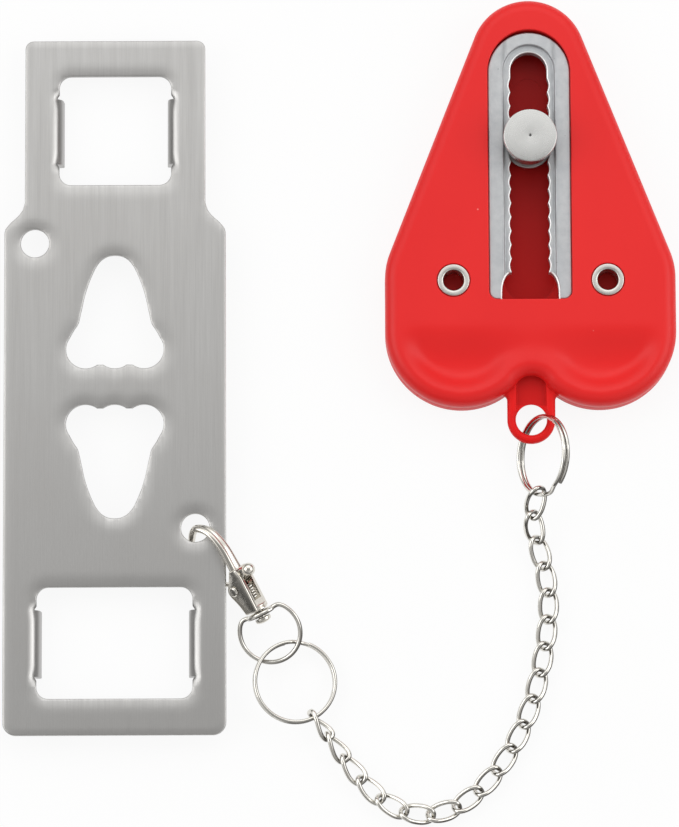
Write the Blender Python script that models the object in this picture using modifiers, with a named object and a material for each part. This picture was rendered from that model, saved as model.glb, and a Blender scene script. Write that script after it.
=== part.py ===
"""Portable door lock: a notched strike plate, a wedge-shaped lock body with a sliding knob,
and the tether of rings, curb links and a swivel snap hook that keeps the two together.

The lock body lies on its back. X runs across it, Y along its slot towards the narrow end, Z up.
The origin is on the back face, under the knob's axis. The tether is laid out from the lock body:
each piece takes its place from the piece before it, and the strike plate comes last.
"""

import math

import bmesh
import bpy
from mathutils import Matrix, Vector

MM = 0.001

# Clearances that every piece shares
GAP = 0.3 * MM
FINE_GAP = 0.15 * MM
OVERRUN = 1.0 * MM
WELD = 0.001 * MM

# Lock body, seen from the front
BODY_THICKNESS = 10.0 * MM
BODY_WIDTH = 65.5 * MM
CAP_RADIUS = 13.0 * MM
CAP_CENTRE_Y = 19.5 * MM
SHOULDER_RADIUS = 16.0 * MM
SHOULDER_CENTRE_Y = -31.2079 * MM
LOBE_OVERLAP = 1.65 * MM
LOBE_CENTRE_Y = -43.3 * MM
BACK_SHELL_HEIGHT = 4.6 * MM
FRONT_EDGE_RADIUS = 3.0 * MM
BACK_EDGE_RADIUS = 1.2 * MM
CAVITY_HALF_WIDTH = 6.3 * MM
CAVITY_FLOOR = 1.8 * MM

# Finger hollows above the two lobes
HOLLOW_DEPTH = 2.0 * MM
HOLLOW_HALF_WIDTH = 12.6 * MM
HOLLOW_HALF_LENGTH = 11.0 * MM
HOLLOW_HALF_HEIGHT = 4.4 * MM
HOLLOW_CENTRE_Y = -44.6 * MM
HOLLOW_TILT_DEG = 8.0

# Tether loop moulded on the back shell
LOOP_RADIUS = 5.4 * MM
LOOP_HOLE_RADIUS = 3.5 * MM
LOOP_CENTRE_Y = -63.25 * MM
LOOP_ROOT_Y = -58.5 * MM
LOOP_BOTTOM = 4.0 * MM
LOOP_THICKNESS = 2.8 * MM
LOOP_RIM = 1.7 * MM
WEB_DEPTH = 0.9 * MM
WEB_CORNER_RADIUS = 1.2 * MM

# Toothed slot insert
INSERT_HALF_WIDTH = 9.3 * MM
INSERT_TOP_Y = 24.8 * MM
INSERT_BOTTOM_Y = -36.3 * MM
INSERT_CORNER_RADIUS = 1.8 * MM
INSERT_RECESS = 0.8 * MM
CROWN_GAP = 0.8 * MM
CHANNEL_HALF_WIDTH = 5.8 * MM
CHANNEL_TOP_Y = 22.0 * MM
CHANNEL_DEPTH = 1.2 * MM
SLOT_HALF_WIDTH = 4.15 * MM
SLOT_TOP_Y = 20.5 * MM
TOOTH_PITCH = 3.18 * MM
TOOTH_DEPTH = 0.4 * MM
TOOTH_COUNT = 14
TEETH_END_Y = -30.0 * MM
MOUTH_HALF_WIDTH = 6.4 * MM
MOUTH_DROP = 4.5 * MM
EAR_THICKNESS = 1.4 * MM
EAR_RADIUS = 4.2 * MM

# Eyelets that hold the front shell to the insert's ears
EYELET_X = 17.35 * MM
EYELET_Y = -32.05 * MM
EYELET_FLANGE_RADIUS = 3.6 * MM
EYELET_FLANGE = 0.5 * MM
EYELET_PROUD = 0.25 * MM
EYELET_BARREL_RADIUS = 2.8 * MM
EYELET_BORE_RADIUS = 2.35 * MM
EYELET_FLARE_RADIUS = 3.4 * MM
EYELET_FLARE = 0.5 * MM

# Knob, its collar and the washer behind the insert
HEAD_RADIUS = 6.0 * MM
HEAD_THICKNESS = 2.6 * MM
HEAD_CHAMFER = 0.35 * MM
DIMPLE_RADIUS = 0.6 * MM
DIMPLE_DEPTH = 0.15 * MM
NECK_RADIUS = 3.85 * MM
NECK_LENGTH = 2.3 * MM
COLLAR_RADIUS = 5.5 * MM
COLLAR_THICKNESS = 1.7 * MM
SHANK_RADIUS = 2.3 * MM
WASHER_THICKNESS = 1.4 * MM
PEEN_RADIUS = 3.3 * MM
PEEN_THICKNESS = 0.6 * MM

# Strike plate
PLATE_WIDTH = 50.0 * MM
PLATE_LENGTH = 157.8 * MM
PLATE_THICKNESS = 1.5 * MM
TAB_WIDTH = 40.8 * MM
TAB_LENGTH = 37.1 * MM
TAB_CORNER_RADIUS = 1.9 * MM
FOOT_CORNER_RADIUS = 3.0 * MM
SHOULDER_DROP = 7.0 * MM
WINDOW_MARGIN = 8.2 * MM
SMALL_WINDOW_WIDTH = 25.3 * MM
LARGE_WINDOW_WIDTH = 34.9 * MM
WINDOW_HEIGHT = 25.0 * MM
WINDOW_CORNER_RADIUS = 2.7 * MM
CLAW_LENGTH = 15.0 * MM
CLAW_DEPTH = 4.5 * MM
CLAW_BEND_RADIUS = 0.4 * MM
CLAW_BEND_DEG = 84.0
CLAW_PROUD = 0.8 * MM
HOLE_RADIUS = 3.2 * MM
HOLE_MARGIN = 6.9 * MM
HOLE_FROM_WINDOW = 13.3 * MM

# Keyholes with three scallops, measured from the middle of the plate
KEY_NEAR_Y = 3.8 * MM
KEY_LENGTH = 25.8 * MM
KEY_NARROW_RADIUS = 4.5 * MM
KEY_WAIST_HALF_WIDTH = 8.1 * MM
KEY_WAIST_Y = 14.4 * MM
SCALLOP_RADIUS = 4.4 * MM
SCALLOP_SPACING = 6.6 * MM
CUSP_HEIGHT = 0.85 * MM

# Split rings
RING_WIRE_RADIUS = 0.5 * MM
RING_COIL_PITCH = 1.05 * MM
RING_JOG_DEG = 26.0
RING_END_GAP_DEG = 4.0
BODY_RING_RADIUS = 9.3 * MM
BODY_RING_LEAN_DEG = 57.0
BODY_RING_SIDE = 0.4 * MM
BODY_RING_DROP = 0.45 * MM
BODY_RING_HANG_DEG = 115.0
BODY_RING_LINK_DEG = -103.0
BODY_RING_END_DEG = -50.0
LARGE_RING_RADIUS = 9.55 * MM
LARGE_RING_TILT_DEG = 10.0
LARGE_RING_HEADING_DEG = 203.0
LARGE_RING_END_DEG = 104.0
RING_FROM_LINK_DEG = 118.0
RING_LINK_LEVEL = 2.75 * MM

# Twisted curb links
LINK_COUNT = 20
LINK_LENGTH = 8.5 * MM
LINK_WIDTH = 4.84 * MM
LINK_WIRE_RADIUS = 0.53 * MM
LINK_PLAY = 0.3 * MM
RING_PLAY = 0.8 * MM
LINK_TWIST_DEG = 45.0
LINK_SQUARENESS = 0.7
CHAIN_LEVEL = 1.65 * MM
CHAIN_START_DEG = -106.0
CHAIN_BENDS_DEG = (27.0, 5.0, -7.0, -10.0, -6.5, -3.5, -4.0, -5.5, -6.5, -7.0, -8.0, -12.5, -19.0, -23.5,
                   -22.5, -16.0, -7.5, -1.5, 1.5)
LINK_ROLLS_DEG = {1: -3.0, 15: 3.0, 16: 8.0, 17: 17.0, 18: 30.0, 19: 49.0, 20: 69.0}
FIRST_DROP_SHARE = 0.5

# Swivel eye
EYE_RADIUS = 7.4 * MM
EYE_WIRE_RADIUS = 0.55 * MM
EYE_SLACK = 2.45 * MM
EYE_FROM_RING_DEG = 116.5
EYE_LEVEL = 3.85 * MM
EYE_ROLL_DEG = 15.0
EYE_OPENING_DEG = 41.0
CROWN_FROM_CENTRE = 4.75 * MM
CROWN_HALF_WIDTH = 3.6 * MM
CROWN_HALF_DEPTH = 2.0 * MM
CROWN_THICKNESS = 1.3 * MM

# Swivel snap hook. In its own frame X runs along the hook, Y towards the gate, Z across the cheeks
HOOK_HEADING_DEG = 117.0
HOOK_PITCH_DEG = 12.0
HOOK_ROLL_DEG = 43.6
HOOK_WIDTH = 4.6 * MM
HOOK_CHANNEL = 2.6 * MM
CHANNEL_START = 2.4 * MM
CHANNEL_END = 9.9 * MM
SPINE_BACK = 1.4 * MM
CHEEK_LENGTH = 10.6 * MM
CHEEK_DEPTH = 4.0 * MM
CHEEK_EDGE_RADIUS = 0.35 * MM
BASE_RADIUS = 2.2 * MM
BASE_THICKNESS = 1.0 * MM
POST_RADIUS = 0.95 * MM
RIVET_RADIUS = 1.85 * MM
RIVET_THICKNESS = 1.3 * MM
HOOK_REACH = 22.2 * MM
HOOK_THROAT = 9.5 * MM
ARCH_ROOT_HALF_WIDTH = 2.0 * MM
ARCH_TIP_HALF_WIDTH = 0.85 * MM
ARCH_ROOT_HALF_THICKNESS = 1.05 * MM
ARCH_TIP_HALF_THICKNESS = 0.75 * MM
PIVOT_X = 6.1 * MM
PIVOT_Y = 2.2 * MM
PIVOT_RADIUS = 0.7 * MM
PIVOT_HEAD_RADIUS = 1.25 * MM
PIVOT_HEAD_THICKNESS = 0.35 * MM
GATE_HALF_WIDTH = 0.8 * MM
GATE_HALF_THICKNESS = 0.5 * MM
GATE_HUB_RADIUS = 1.5 * MM
GATE_END_X = 18.0 * MM
GATE_END_Y = 9.0 * MM
GATE_BOW_SHARE = 0.16
GATE_BOW_AT_SHARE = 0.35
BALL_RADIUS = 1.5 * MM
BALL_X = 9.3 * MM
BALL_Y = -2.75 * MM
SPRING_WIRE_RADIUS = 0.16 * MM
SPRING_RADIUS = 0.72 * MM
SPRING_LENGTH = 3.2 * MM
SPRING_Y = -0.62 * MM
SPRING_TURNS = 5

# Where the hook's bend stands in the plate's round hole
BEND_SETBACK = 0.3 * MM
BEND_Y = 5.5 * MM
BEND_SIDE = 0.5 * MM
BEND_DROP = 0.45 * MM

# Points of the plate's shoulder, of the arch, the cheek and the keyhole's side, as shares of their sizes
SHOULDER_SHARES = ((0.0, 0.0), (0.12, 0.28), (0.45, 0.52), (0.85, 0.76), (1.0, 1.0))
ARCH_SHARES = ((0.36, 0.03), (0.47, 0.065), (0.56, 0.075), (0.675, 0.09), (0.79, 0.145), (0.89, 0.24),
               (0.96, 0.39), (1.0, 0.6), (0.975, 0.75), (0.925, 0.865), (0.86, 1.0))
CHEEK_SHARES = ((0.0, 0.55), (0.24, 0.68), (0.5, 0.98), (0.6, 1.0), (0.68, 0.88), (0.8, 0.6), (1.0, 0.28))
KEY_SIDE_SHARES = ((0.0, 0.0), (0.3, 0.32), (0.62, 0.6))

# Finishes: colour, roughness, metallic
RED_PLASTIC = ((0.82, 0.035, 0.035), 0.42, 0.0)
DARK_RED_PLASTIC = ((0.55, 0.02, 0.025), 0.5, 0.0)
BRUSHED_STEEL = ((0.5, 0.5, 0.49), 0.38, 1.0)
CAST_ZINC = ((0.46, 0.47, 0.48), 0.45, 1.0)
TURNED_STEEL = ((0.62, 0.62, 0.6), 0.3, 1.0)
NICKEL = ((0.66, 0.63, 0.57), 0.2, 1.0)

# Sizes and places that follow from those above
LOBE_RADIUS = (BODY_WIDTH / 2 + LOBE_OVERLAP) / 2
WINDOW_OFFSET = (PLATE_LENGTH - WINDOW_HEIGHT) / 2 - WINDOW_MARGIN
HOLE_X = PLATE_WIDTH / 2 - HOLE_MARGIN
HOLE_Y = WINDOW_OFFSET - WINDOW_HEIGHT / 2 - HOLE_FROM_WINDOW
BEND_X = HOOK_REACH - BEND_SETBACK
PARTING = BACK_SHELL_HEIGHT + GAP
INSERT_TOP = BODY_THICKNESS - INSERT_RECESS
CHANNEL_FLOOR = INSERT_TOP - CHANNEL_DEPTH
LINK_REACH = LINK_LENGTH / 2 - 2 * LINK_WIRE_RADIUS - LINK_PLAY / 2
HOOK_FROM_EYE = CROWN_FROM_CENTRE + CROWN_THICKNESS / 2 + GAP


def clear_scene():
    """Remove every object, so that the model stands alone."""
    for thing in list(bpy.data.objects):
        bpy.data.objects.remove(thing, do_unlink=True)


def collection(name):
    """A collection by its name, made when it is first asked for."""
    if name not in bpy.data.collections:
        bpy.context.scene.collection.children.link(bpy.data.collections.new(name))
    return bpy.data.collections[name]


def add_part(name, data, finish, place=None):
    """Put a mesh or curve into the model as one named piece with its own material."""
    thing = bpy.data.objects.new(name, data)
    collection("portable_door_lock").objects.link(thing)
    thing.matrix_world = place or Matrix()
    colour, roughness, metallic = finish
    material = bpy.data.materials.new(name)
    material.use_nodes = True
    shader = material.node_tree.nodes["Principled BSDF"]
    shader.inputs["Base Color"].default_value = (*colour, 1.0)
    shader.inputs["Roughness"].default_value = roughness
    shader.inputs["Metallic"].default_value = metallic
    if not data.materials:
        data.materials.append(None)
    thing.material_slots[0].link = "OBJECT"
    thing.material_slots[0].material = material
    return thing


def add_cutter(name, data, place=None):
    """Put a shape among the cutters, which are not part of the model."""
    thing = bpy.data.objects.new(name, data)
    collection("cutters").objects.link(thing)
    thing.matrix_world = place or Matrix()
    thing.hide_render = True
    thing.display_type = "WIRE"
    return thing


def combine(target, tool, operation):
    """Add a Boolean of the tool to the target: UNION or DIFFERENCE."""
    modifier = target.modifiers.new(tool.name, "BOOLEAN")
    modifier.operation = operation
    modifier.solver = "EXACT"
    modifier.object = tool


def mesh_from(name, shape):
    """Turn a finished bmesh into a smooth-shaded mesh with sharp edges kept."""
    bmesh.ops.recalc_face_normals(shape, faces=shape.faces)
    mesh = bpy.data.meshes.new(name)
    shape.to_mesh(mesh)
    shape.free()
    mesh.shade_smooth()
    mesh.set_sharp_from_angle(angle=math.radians(35))
    return mesh


def bmesh_from_curve(curve):
    """Evaluate a curve as a closed bmesh, with its caps welded on."""
    guide = bpy.data.objects.new(curve.name, curve)
    bpy.context.scene.collection.objects.link(guide)
    bpy.context.view_layer.update()
    mesh = bpy.data.meshes.new_from_object(guide.evaluated_get(bpy.context.evaluated_depsgraph_get()))
    shape = bmesh.new()
    shape.from_mesh(mesh)
    bmesh.ops.remove_doubles(shape, verts=shape.verts, dist=WELD)
    bpy.data.objects.remove(guide)
    bpy.data.curves.remove(curve)
    bpy.data.meshes.remove(mesh)
    return shape


def arc(centre, radius, start_deg, end_deg, steps):
    """Points along an arc, both ends included."""
    points = []
    for step in range(steps + 1):
        angle = math.radians(start_deg + (end_deg - start_deg) * step / steps)
        points.append((centre[0] + radius * math.cos(angle), centre[1] + radius * math.sin(angle)))
    return points


def circle(centre, radius, steps):
    """Points of a full circle, the first not repeated."""
    return arc(centre, radius, 0, 360, steps)[:-1]


def mirrored(points):
    """The same points on the other side of the Y axis, in reverse order."""
    return [(-x, y) for x, y in reversed(points)]


def stadium(radius, low_y, high_y, steps):
    """Outline of a slot with round ends between two centres on the Y axis."""
    return arc((0, high_y), radius, 0, 180, steps) + arc((0, low_y), radius, 180, 360, steps)


def rounded_box(centre, half_width, half_height, radius, steps):
    """Outline of a rectangle with round corners."""
    points = []
    for index, (side, rise) in enumerate(((1, 1), (-1, 1), (-1, -1), (1, -1))):
        corner = (centre[0] + side * (half_width - radius), centre[1] + rise * (half_height - radius))
        points += arc(corner, radius, 90 * index, 90 * index + 90, steps)
    return points


def outline_shape(name, loops, low, high):
    """Closed bmesh between two heights, from an outer loop and any loops inside it."""
    curve = bpy.data.curves.new(name, "CURVE")
    curve.dimensions = "2D"
    curve.fill_mode = "BOTH"
    curve.extrude = (high - low) / 2
    for loop in loops:
        spline = curve.splines.new("POLY")
        spline.points.add(len(loop) - 1)
        for point, (x, y) in zip(spline.points, loop):
            point.co = (x, y, 0, 1)
        spline.use_cyclic_u = True
    shape = bmesh_from_curve(curve)
    bmesh.ops.translate(shape, verts=shape.verts, vec=(0, 0, (low + high) / 2))
    return shape


def outline_mesh(name, loops, low, high):
    """The same as a mesh."""
    return mesh_from(name, outline_shape(name, loops, low, high))


def rounded_rim_mesh(name, loop, low, high, rim, radius, segments):
    """Mesh of an outline whose edge at one height, low or high, is rounded over."""
    shape = outline_shape(name, [loop], low, high)
    caps = [face for face in shape.faces if abs(face.normal.z) > 0.5]
    for level in (low, high):
        flat = [face for face in caps if face.is_valid and abs(face.calc_center_median().z - level) < WELD]
        bmesh.ops.dissolve_faces(shape, faces=flat)
    edges = [edge for edge in shape.edges if all(abs(vert.co.z - rim) < WELD for vert in edge.verts)]
    bmesh.ops.bevel(shape, geom=edges, offset=radius, segments=segments, profile=0.5, affect="EDGES", material=-1)
    return mesh_from(name, shape)


def turned_object(maker, name, profile, closed, steps, place, *finish):
    """Piece or cutter turned about its own Z from a profile of radii and heights."""
    mesh = bpy.data.meshes.new(name)
    edges = [(index, index + 1) for index in range(len(profile) - 1)]
    if closed:
        edges.append((len(profile) - 1, 0))
    mesh.from_pydata([(radius, 0, height) for radius, height in profile], edges, [])
    thing = maker(name, mesh, *finish, place)
    screw = thing.modifiers.new("turning", "SCREW")
    screw.axis = "Z"
    screw.steps = steps
    screw.render_steps = steps
    screw.use_merge_vertices = True
    screw.merge_threshold = WELD
    screw.use_smooth_shade = True
    return thing


def turned_part(name, profile, closed, steps, place, finish):
    """A turned piece of the model."""
    return turned_object(add_part, name, profile, closed, steps, place, finish)


def turned_cutter(name, profile, steps, place):
    """A turned cutter."""
    return turned_object(add_cutter, name, profile, False, steps, place)


def disc_profile(radius, low, high):
    """Profile of a plain solid disc."""
    return [(0, high), (radius, high), (radius, low), (0, low)]


def wire_curve(name, points, radius, resolution, closed=False, radii=None):
    """Round wire along a list of points."""
    curve = bpy.data.curves.new(name, "CURVE")
    curve.dimensions = "3D"
    curve.bevel_depth = radius
    curve.bevel_resolution = resolution
    curve.use_fill_caps = True
    spline = curve.splines.new("POLY")
    spline.points.add(len(points) - 1)
    for index, point in enumerate(points):
        spline.points[index].co = (*point, 1)
        spline.points[index].radius = radii[index] if radii else 1
    spline.use_cyclic_u = closed
    spline.use_smooth = True
    return curve


def smooth_path(points, steps):
    """Points along a smooth curve through the given ones, with so many steps to each stretch."""
    ends = [points[0], *points, points[-1]]
    path = []
    for before, start, end, after in zip(ends, ends[1:], ends[2:], ends[3:]):
        for step in range(steps):
            share = step / steps
            path.append(tuple(
                0.5 * (2 * b + (c - a) * share + (2 * a - 5 * b + 4 * c - d) * share ** 2
                       + (3 * b - a - 3 * c + d) * share ** 3)
                for a, b, c, d in zip(before, start, end, after)))
    path.append(tuple(points[-1]))
    return path


def polar(radius, angle_deg):
    """A vector in the XY plane by its length and heading."""
    angle = math.radians(angle_deg)
    return Vector((radius * math.cos(angle), radius * math.sin(angle), 0))


def turn(angle_deg, axis):
    """Rotation matrix about one axis."""
    return Matrix.Rotation(math.radians(angle_deg), 4, axis)


def body_outline():
    """Outline of the lock body: round cap, sloping sides, shoulders and two lobes."""
    half_width = BODY_WIDTH / 2
    lobe_x = half_width - LOBE_RADIUS
    shoulder_x = half_width - SHOULDER_RADIUS
    down = SHOULDER_CENTRE_Y - CAP_CENTRE_Y
    tangent = math.acos((CAP_RADIUS - SHOULDER_RADIUS) / math.hypot(shoulder_x, down))
    slope_deg = math.degrees(math.atan2(down, shoulder_x) + tangent)
    notch = LOOP_RADIUS + GAP
    span = math.hypot(lobe_x, LOBE_CENTRE_Y - LOOP_ROOT_Y)
    along = (span ** 2 + LOBE_RADIUS ** 2 - notch ** 2) / (2 * span)
    towards_deg = math.degrees(math.atan2(LOOP_ROOT_Y - LOBE_CENTRE_Y, -lobe_x))
    end_deg = towards_deg + math.degrees(math.acos(along / LOBE_RADIUS))
    half = arc((0, CAP_CENTRE_Y), CAP_RADIUS, 90, slope_deg, 9)
    half += arc((shoulder_x, SHOULDER_CENTRE_Y), SHOULDER_RADIUS, slope_deg, 0, 3)
    half += arc((lobe_x, LOBE_CENTRE_Y), LOBE_RADIUS, 0, end_deg, 14)
    return half + mirrored(half)[:-1]


def insert_outline(spare, crown):
    """Outline of the slot insert, with room round it and more above its round top."""
    half_width = INSERT_HALF_WIDTH + spare
    radius = INSERT_CORNER_RADIUS + spare
    top_y = INSERT_TOP_Y - INSERT_HALF_WIDTH
    half = [(x, y + crown * (y - top_y) / half_width) for x, y in arc((0, top_y), half_width, 90, 0, 12)]
    half += arc((half_width - radius, INSERT_BOTTOM_Y - spare + radius), radius, 0, -90, 3)
    return half + mirrored(half)[:-1]


def slot_outline():
    """Outline of the through slot: round top, waves along both sides and a wide open mouth."""
    half = arc((0, SLOT_TOP_Y - SLOT_HALF_WIDTH), SLOT_HALF_WIDTH, 90, 0, 8)
    waves = 4 * TOOTH_COUNT
    for index in range(waves + 1):
        bulge = TOOTH_DEPTH * abs(math.sin(math.pi * index / 4))
        half.append((SLOT_HALF_WIDTH + bulge, TEETH_END_Y + TOOTH_PITCH * (TOOTH_COUNT - index / 4)))
    for index in range(1, 5):
        angle = math.pi / 2 * index / 4
        x = SLOT_HALF_WIDTH + (MOUTH_HALF_WIDTH - SLOT_HALF_WIDTH) * math.sin(angle)
        half.append((x, TEETH_END_Y - MOUTH_DROP * (1 - math.cos(angle))))
    half.append((MOUTH_HALF_WIDTH, INSERT_BOTTOM_Y - OVERRUN))
    return half + mirrored(half)[:-1]


def channel_outline():
    """Outline of the shallow channel that guides the knob's collar."""
    half = arc((0, CHANNEL_TOP_Y - CHANNEL_HALF_WIDTH), CHANNEL_HALF_WIDTH, 90, 0, 10)
    half.append((CHANNEL_HALF_WIDTH, INSERT_BOTTOM_Y - OVERRUN))
    return half + mirrored(half)[:-1]


def ear_outline(spare):
    """Outline of the bar whose ends are the insert's two ears."""
    radius = EAR_RADIUS + spare
    return arc((EYELET_X, EYELET_Y), radius, -90, 90, 8) + arc((-EYELET_X, EYELET_Y), radius, 90, 270, 8)


def cut_outline(target, name, loop, low, high):
    """Cut an outline out of a piece between two heights."""
    combine(target, add_cutter(name, outline_mesh(name, [loop], low, high)), "DIFFERENCE")


def build_front_shell():
    """Front moulding: rounded rim, window for the insert, eyelet seats, finger hollows, loop notch."""
    mesh = rounded_rim_mesh("front_shell", body_outline(), PARTING, BODY_THICKNESS, BODY_THICKNESS,
                            FRONT_EDGE_RADIUS, 4)
    shell = add_part("front_shell", mesh, RED_PLASTIC)
    cut_outline(shell, "insert_window", insert_outline(GAP, CROWN_GAP), PARTING - OVERRUN, BODY_THICKNESS + OVERRUN)
    cut_outline(shell, "ear_pocket", ear_outline(GAP), PARTING - OVERRUN, PARTING + EAR_THICKNESS + GAP)
    notch = circle((0, LOOP_ROOT_Y), LOOP_RADIUS + GAP, 28)
    cut_outline(shell, "loop_notch", notch, PARTING - OVERRUN, BODY_THICKNESS + OVERRUN)
    seat = BODY_THICKNESS + EYELET_PROUD - EYELET_FLANGE - GAP
    for side, label in ((-1, "left"), (1, "right")):
        place = Matrix.Translation((side * EYELET_X, EYELET_Y, 0))
        barrel = EYELET_BARREL_RADIUS + GAP
        flange = EYELET_FLANGE_RADIUS + GAP
        high = BODY_THICKNESS + OVERRUN
        profile = [(0, high), (flange, high), (flange, seat), (barrel, seat), (barrel, PARTING - OVERRUN),
                   (0, PARTING - OVERRUN)]
        combine(shell, turned_cutter("eyelet_seat_" + label, profile, 20, place), "DIFFERENCE")
        combine(shell, hollow_cutter(side, label), "DIFFERENCE")


def hollow_cutter(side, label):
    """Tilted ellipsoid that presses the finger hollow above one lobe."""
    shape = bmesh.new()
    bmesh.ops.create_uvsphere(shape, u_segments=28, v_segments=16, radius=1)
    bmesh.ops.scale(shape, verts=shape.verts, vec=(HOLLOW_HALF_WIDTH, HOLLOW_HALF_LENGTH, HOLLOW_HALF_HEIGHT))
    place = Matrix.Translation((side * (BODY_WIDTH / 2 - LOBE_RADIUS), HOLLOW_CENTRE_Y,
                                BODY_THICKNESS - HOLLOW_DEPTH + HOLLOW_HALF_HEIGHT))
    return add_cutter("finger_hollow_" + label, mesh_from("finger_hollow", shape), place @ turn(HOLLOW_TILT_DEG, "X"))


def build_back_shell():
    """Back moulding: rounded outer edge, cavity under the insert, and the tether loop."""
    mesh = rounded_rim_mesh("back_shell", body_outline(), 0, BACK_SHELL_HEIGHT, 0, BACK_EDGE_RADIUS, 2)
    shell = add_part("back_shell", mesh, DARK_RED_PLASTIC)
    loop_top = LOOP_BOTTOM + LOOP_THICKNESS
    loop = outline_mesh("tether_loop", [stadium(LOOP_RADIUS, LOOP_CENTRE_Y, LOOP_ROOT_Y, 14)], LOOP_BOTTOM, loop_top)
    combine(shell, add_cutter("tether_loop", loop), "UNION")
    hole = circle((0, LOOP_CENTRE_Y), LOOP_HOLE_RADIUS, 24)
    cut_outline(shell, "loop_hole", hole, LOOP_BOTTOM - OVERRUN, loop_top + OVERRUN)
    web_radius = LOOP_RADIUS - LOOP_RIM
    web_low = LOOP_CENTRE_Y + LOOP_HOLE_RADIUS + LOOP_RIM / 2
    web_high = LOOP_ROOT_Y + web_radius
    web = rounded_box((0, (web_low + web_high) / 2), web_radius, (web_high - web_low) / 2, WEB_CORNER_RADIUS, 4)
    cut_outline(shell, "loop_web", web, loop_top - WEB_DEPTH, loop_top + OVERRUN)
    cavity_low = INSERT_BOTTOM_Y - GAP + CAVITY_HALF_WIDTH
    cavity_high = SLOT_TOP_Y - SLOT_HALF_WIDTH
    cavity = stadium(CAVITY_HALF_WIDTH, cavity_low, cavity_high, 12)
    cut_outline(shell, "slide_cavity", cavity, CAVITY_FLOOR, BACK_SHELL_HEIGHT + OVERRUN)
    flare_low = BACK_SHELL_HEIGHT - EYELET_FLARE - GAP
    for side, label in ((-1, "left"), (1, "right")):
        pocket = circle((side * EYELET_X, EYELET_Y), EYELET_FLARE_RADIUS + GAP, 16)
        cut_outline(shell, "flare_pocket_" + label, pocket, flare_low, BACK_SHELL_HEIGHT + OVERRUN)


def build_slot_insert():
    """Die-cast insert: wavy slot, guide channel, open mouth, and two ears under the front moulding."""
    mesh = outline_mesh("slot_insert", [insert_outline(0, 0)], PARTING, INSERT_TOP)
    insert = add_part("slot_insert", mesh, CAST_ZINC)
    ears = outline_mesh("insert_ears", [ear_outline(0)], PARTING, PARTING + EAR_THICKNESS)
    combine(insert, add_cutter("insert_ears", ears), "UNION")
    cut_outline(insert, "guide_channel", channel_outline(), CHANNEL_FLOOR, INSERT_TOP + OVERRUN)
    cut_outline(insert, "toothed_slot", slot_outline(), PARTING - OVERRUN, INSERT_TOP + OVERRUN)
    for side, label in ((-1, "left"), (1, "right")):
        hole = circle((side * EYELET_X, EYELET_Y), EYELET_BARREL_RADIUS + GAP, 16)
        cut_outline(insert, "ear_hole_" + label, hole, PARTING - OVERRUN, PARTING + EAR_THICKNESS + OVERRUN)


def build_eyelets():
    """Tubular rivets: a flange on the front, a barrel, and a flare rolled over behind the ear."""
    top = BODY_THICKNESS + EYELET_PROUD
    under = top - EYELET_FLANGE
    soft = EYELET_FLANGE / 2
    foot = PARTING - GAP - EYELET_FLARE
    profile = [(EYELET_BORE_RADIUS + soft, top), (EYELET_FLANGE_RADIUS - soft, top), (EYELET_FLANGE_RADIUS, under + soft),
               (EYELET_FLANGE_RADIUS, under), (EYELET_BARREL_RADIUS, under), (EYELET_BARREL_RADIUS, PARTING - GAP),
               (EYELET_FLARE_RADIUS, PARTING - GAP), (EYELET_FLARE_RADIUS, foot), (EYELET_BORE_RADIUS, foot),
               (EYELET_BORE_RADIUS, top - soft)]
    for side, label in ((-1, "left"), (1, "right")):
        turned_part("eyelet_" + label, profile, True, 16, Matrix.Translation((side * EYELET_X, EYELET_Y, 0)), CAST_ZINC)


def build_knob():
    """Knob with its neck, shank and peened end; the collar it turns in; the washer that traps it."""
    collar_top = CHANNEL_FLOOR + GAP + COLLAR_THICKNESS
    neck_low = collar_top + GAP
    head_low = neck_low + NECK_LENGTH
    head_top = head_low + HEAD_THICKNESS
    washer_top = PARTING - GAP
    washer_low = washer_top - WASHER_THICKNESS
    peen_top = washer_low - GAP
    peen_low = peen_top - PEEN_THICKNESS
    bore = SHANK_RADIUS + GAP
    barrel = SLOT_HALF_WIDTH - GAP
    chamfer = HEAD_CHAMFER
    knob = [(0, head_top - DIMPLE_DEPTH), (DIMPLE_RADIUS, head_top), (HEAD_RADIUS - chamfer, head_top),
            (HEAD_RADIUS, head_top - chamfer), (HEAD_RADIUS, head_low + chamfer), (HEAD_RADIUS - chamfer, head_low),
            (NECK_RADIUS, head_low), (NECK_RADIUS, neck_low), (SHANK_RADIUS, neck_low), (SHANK_RADIUS, peen_top),
            (PEEN_RADIUS, peen_top), (PEEN_RADIUS, peen_low + chamfer), (PEEN_RADIUS - chamfer, peen_low),
            (0, peen_low)]
    turned_part("knob_stud", knob, False, 28, None, TURNED_STEEL)
    collar = [(COLLAR_RADIUS, collar_top), (COLLAR_RADIUS, CHANNEL_FLOOR + GAP), (barrel, CHANNEL_FLOOR + GAP),
              (barrel, PARTING), (bore, PARTING), (bore, collar_top)]
    turned_part("slide_collar", collar, True, 28, None, CAST_ZINC)
    washer = [(COLLAR_RADIUS, washer_top), (COLLAR_RADIUS, washer_low), (bore, washer_low), (bore, washer_top)]
    turned_part("rear_washer", washer, True, 24, None, CAST_ZINC)


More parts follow.
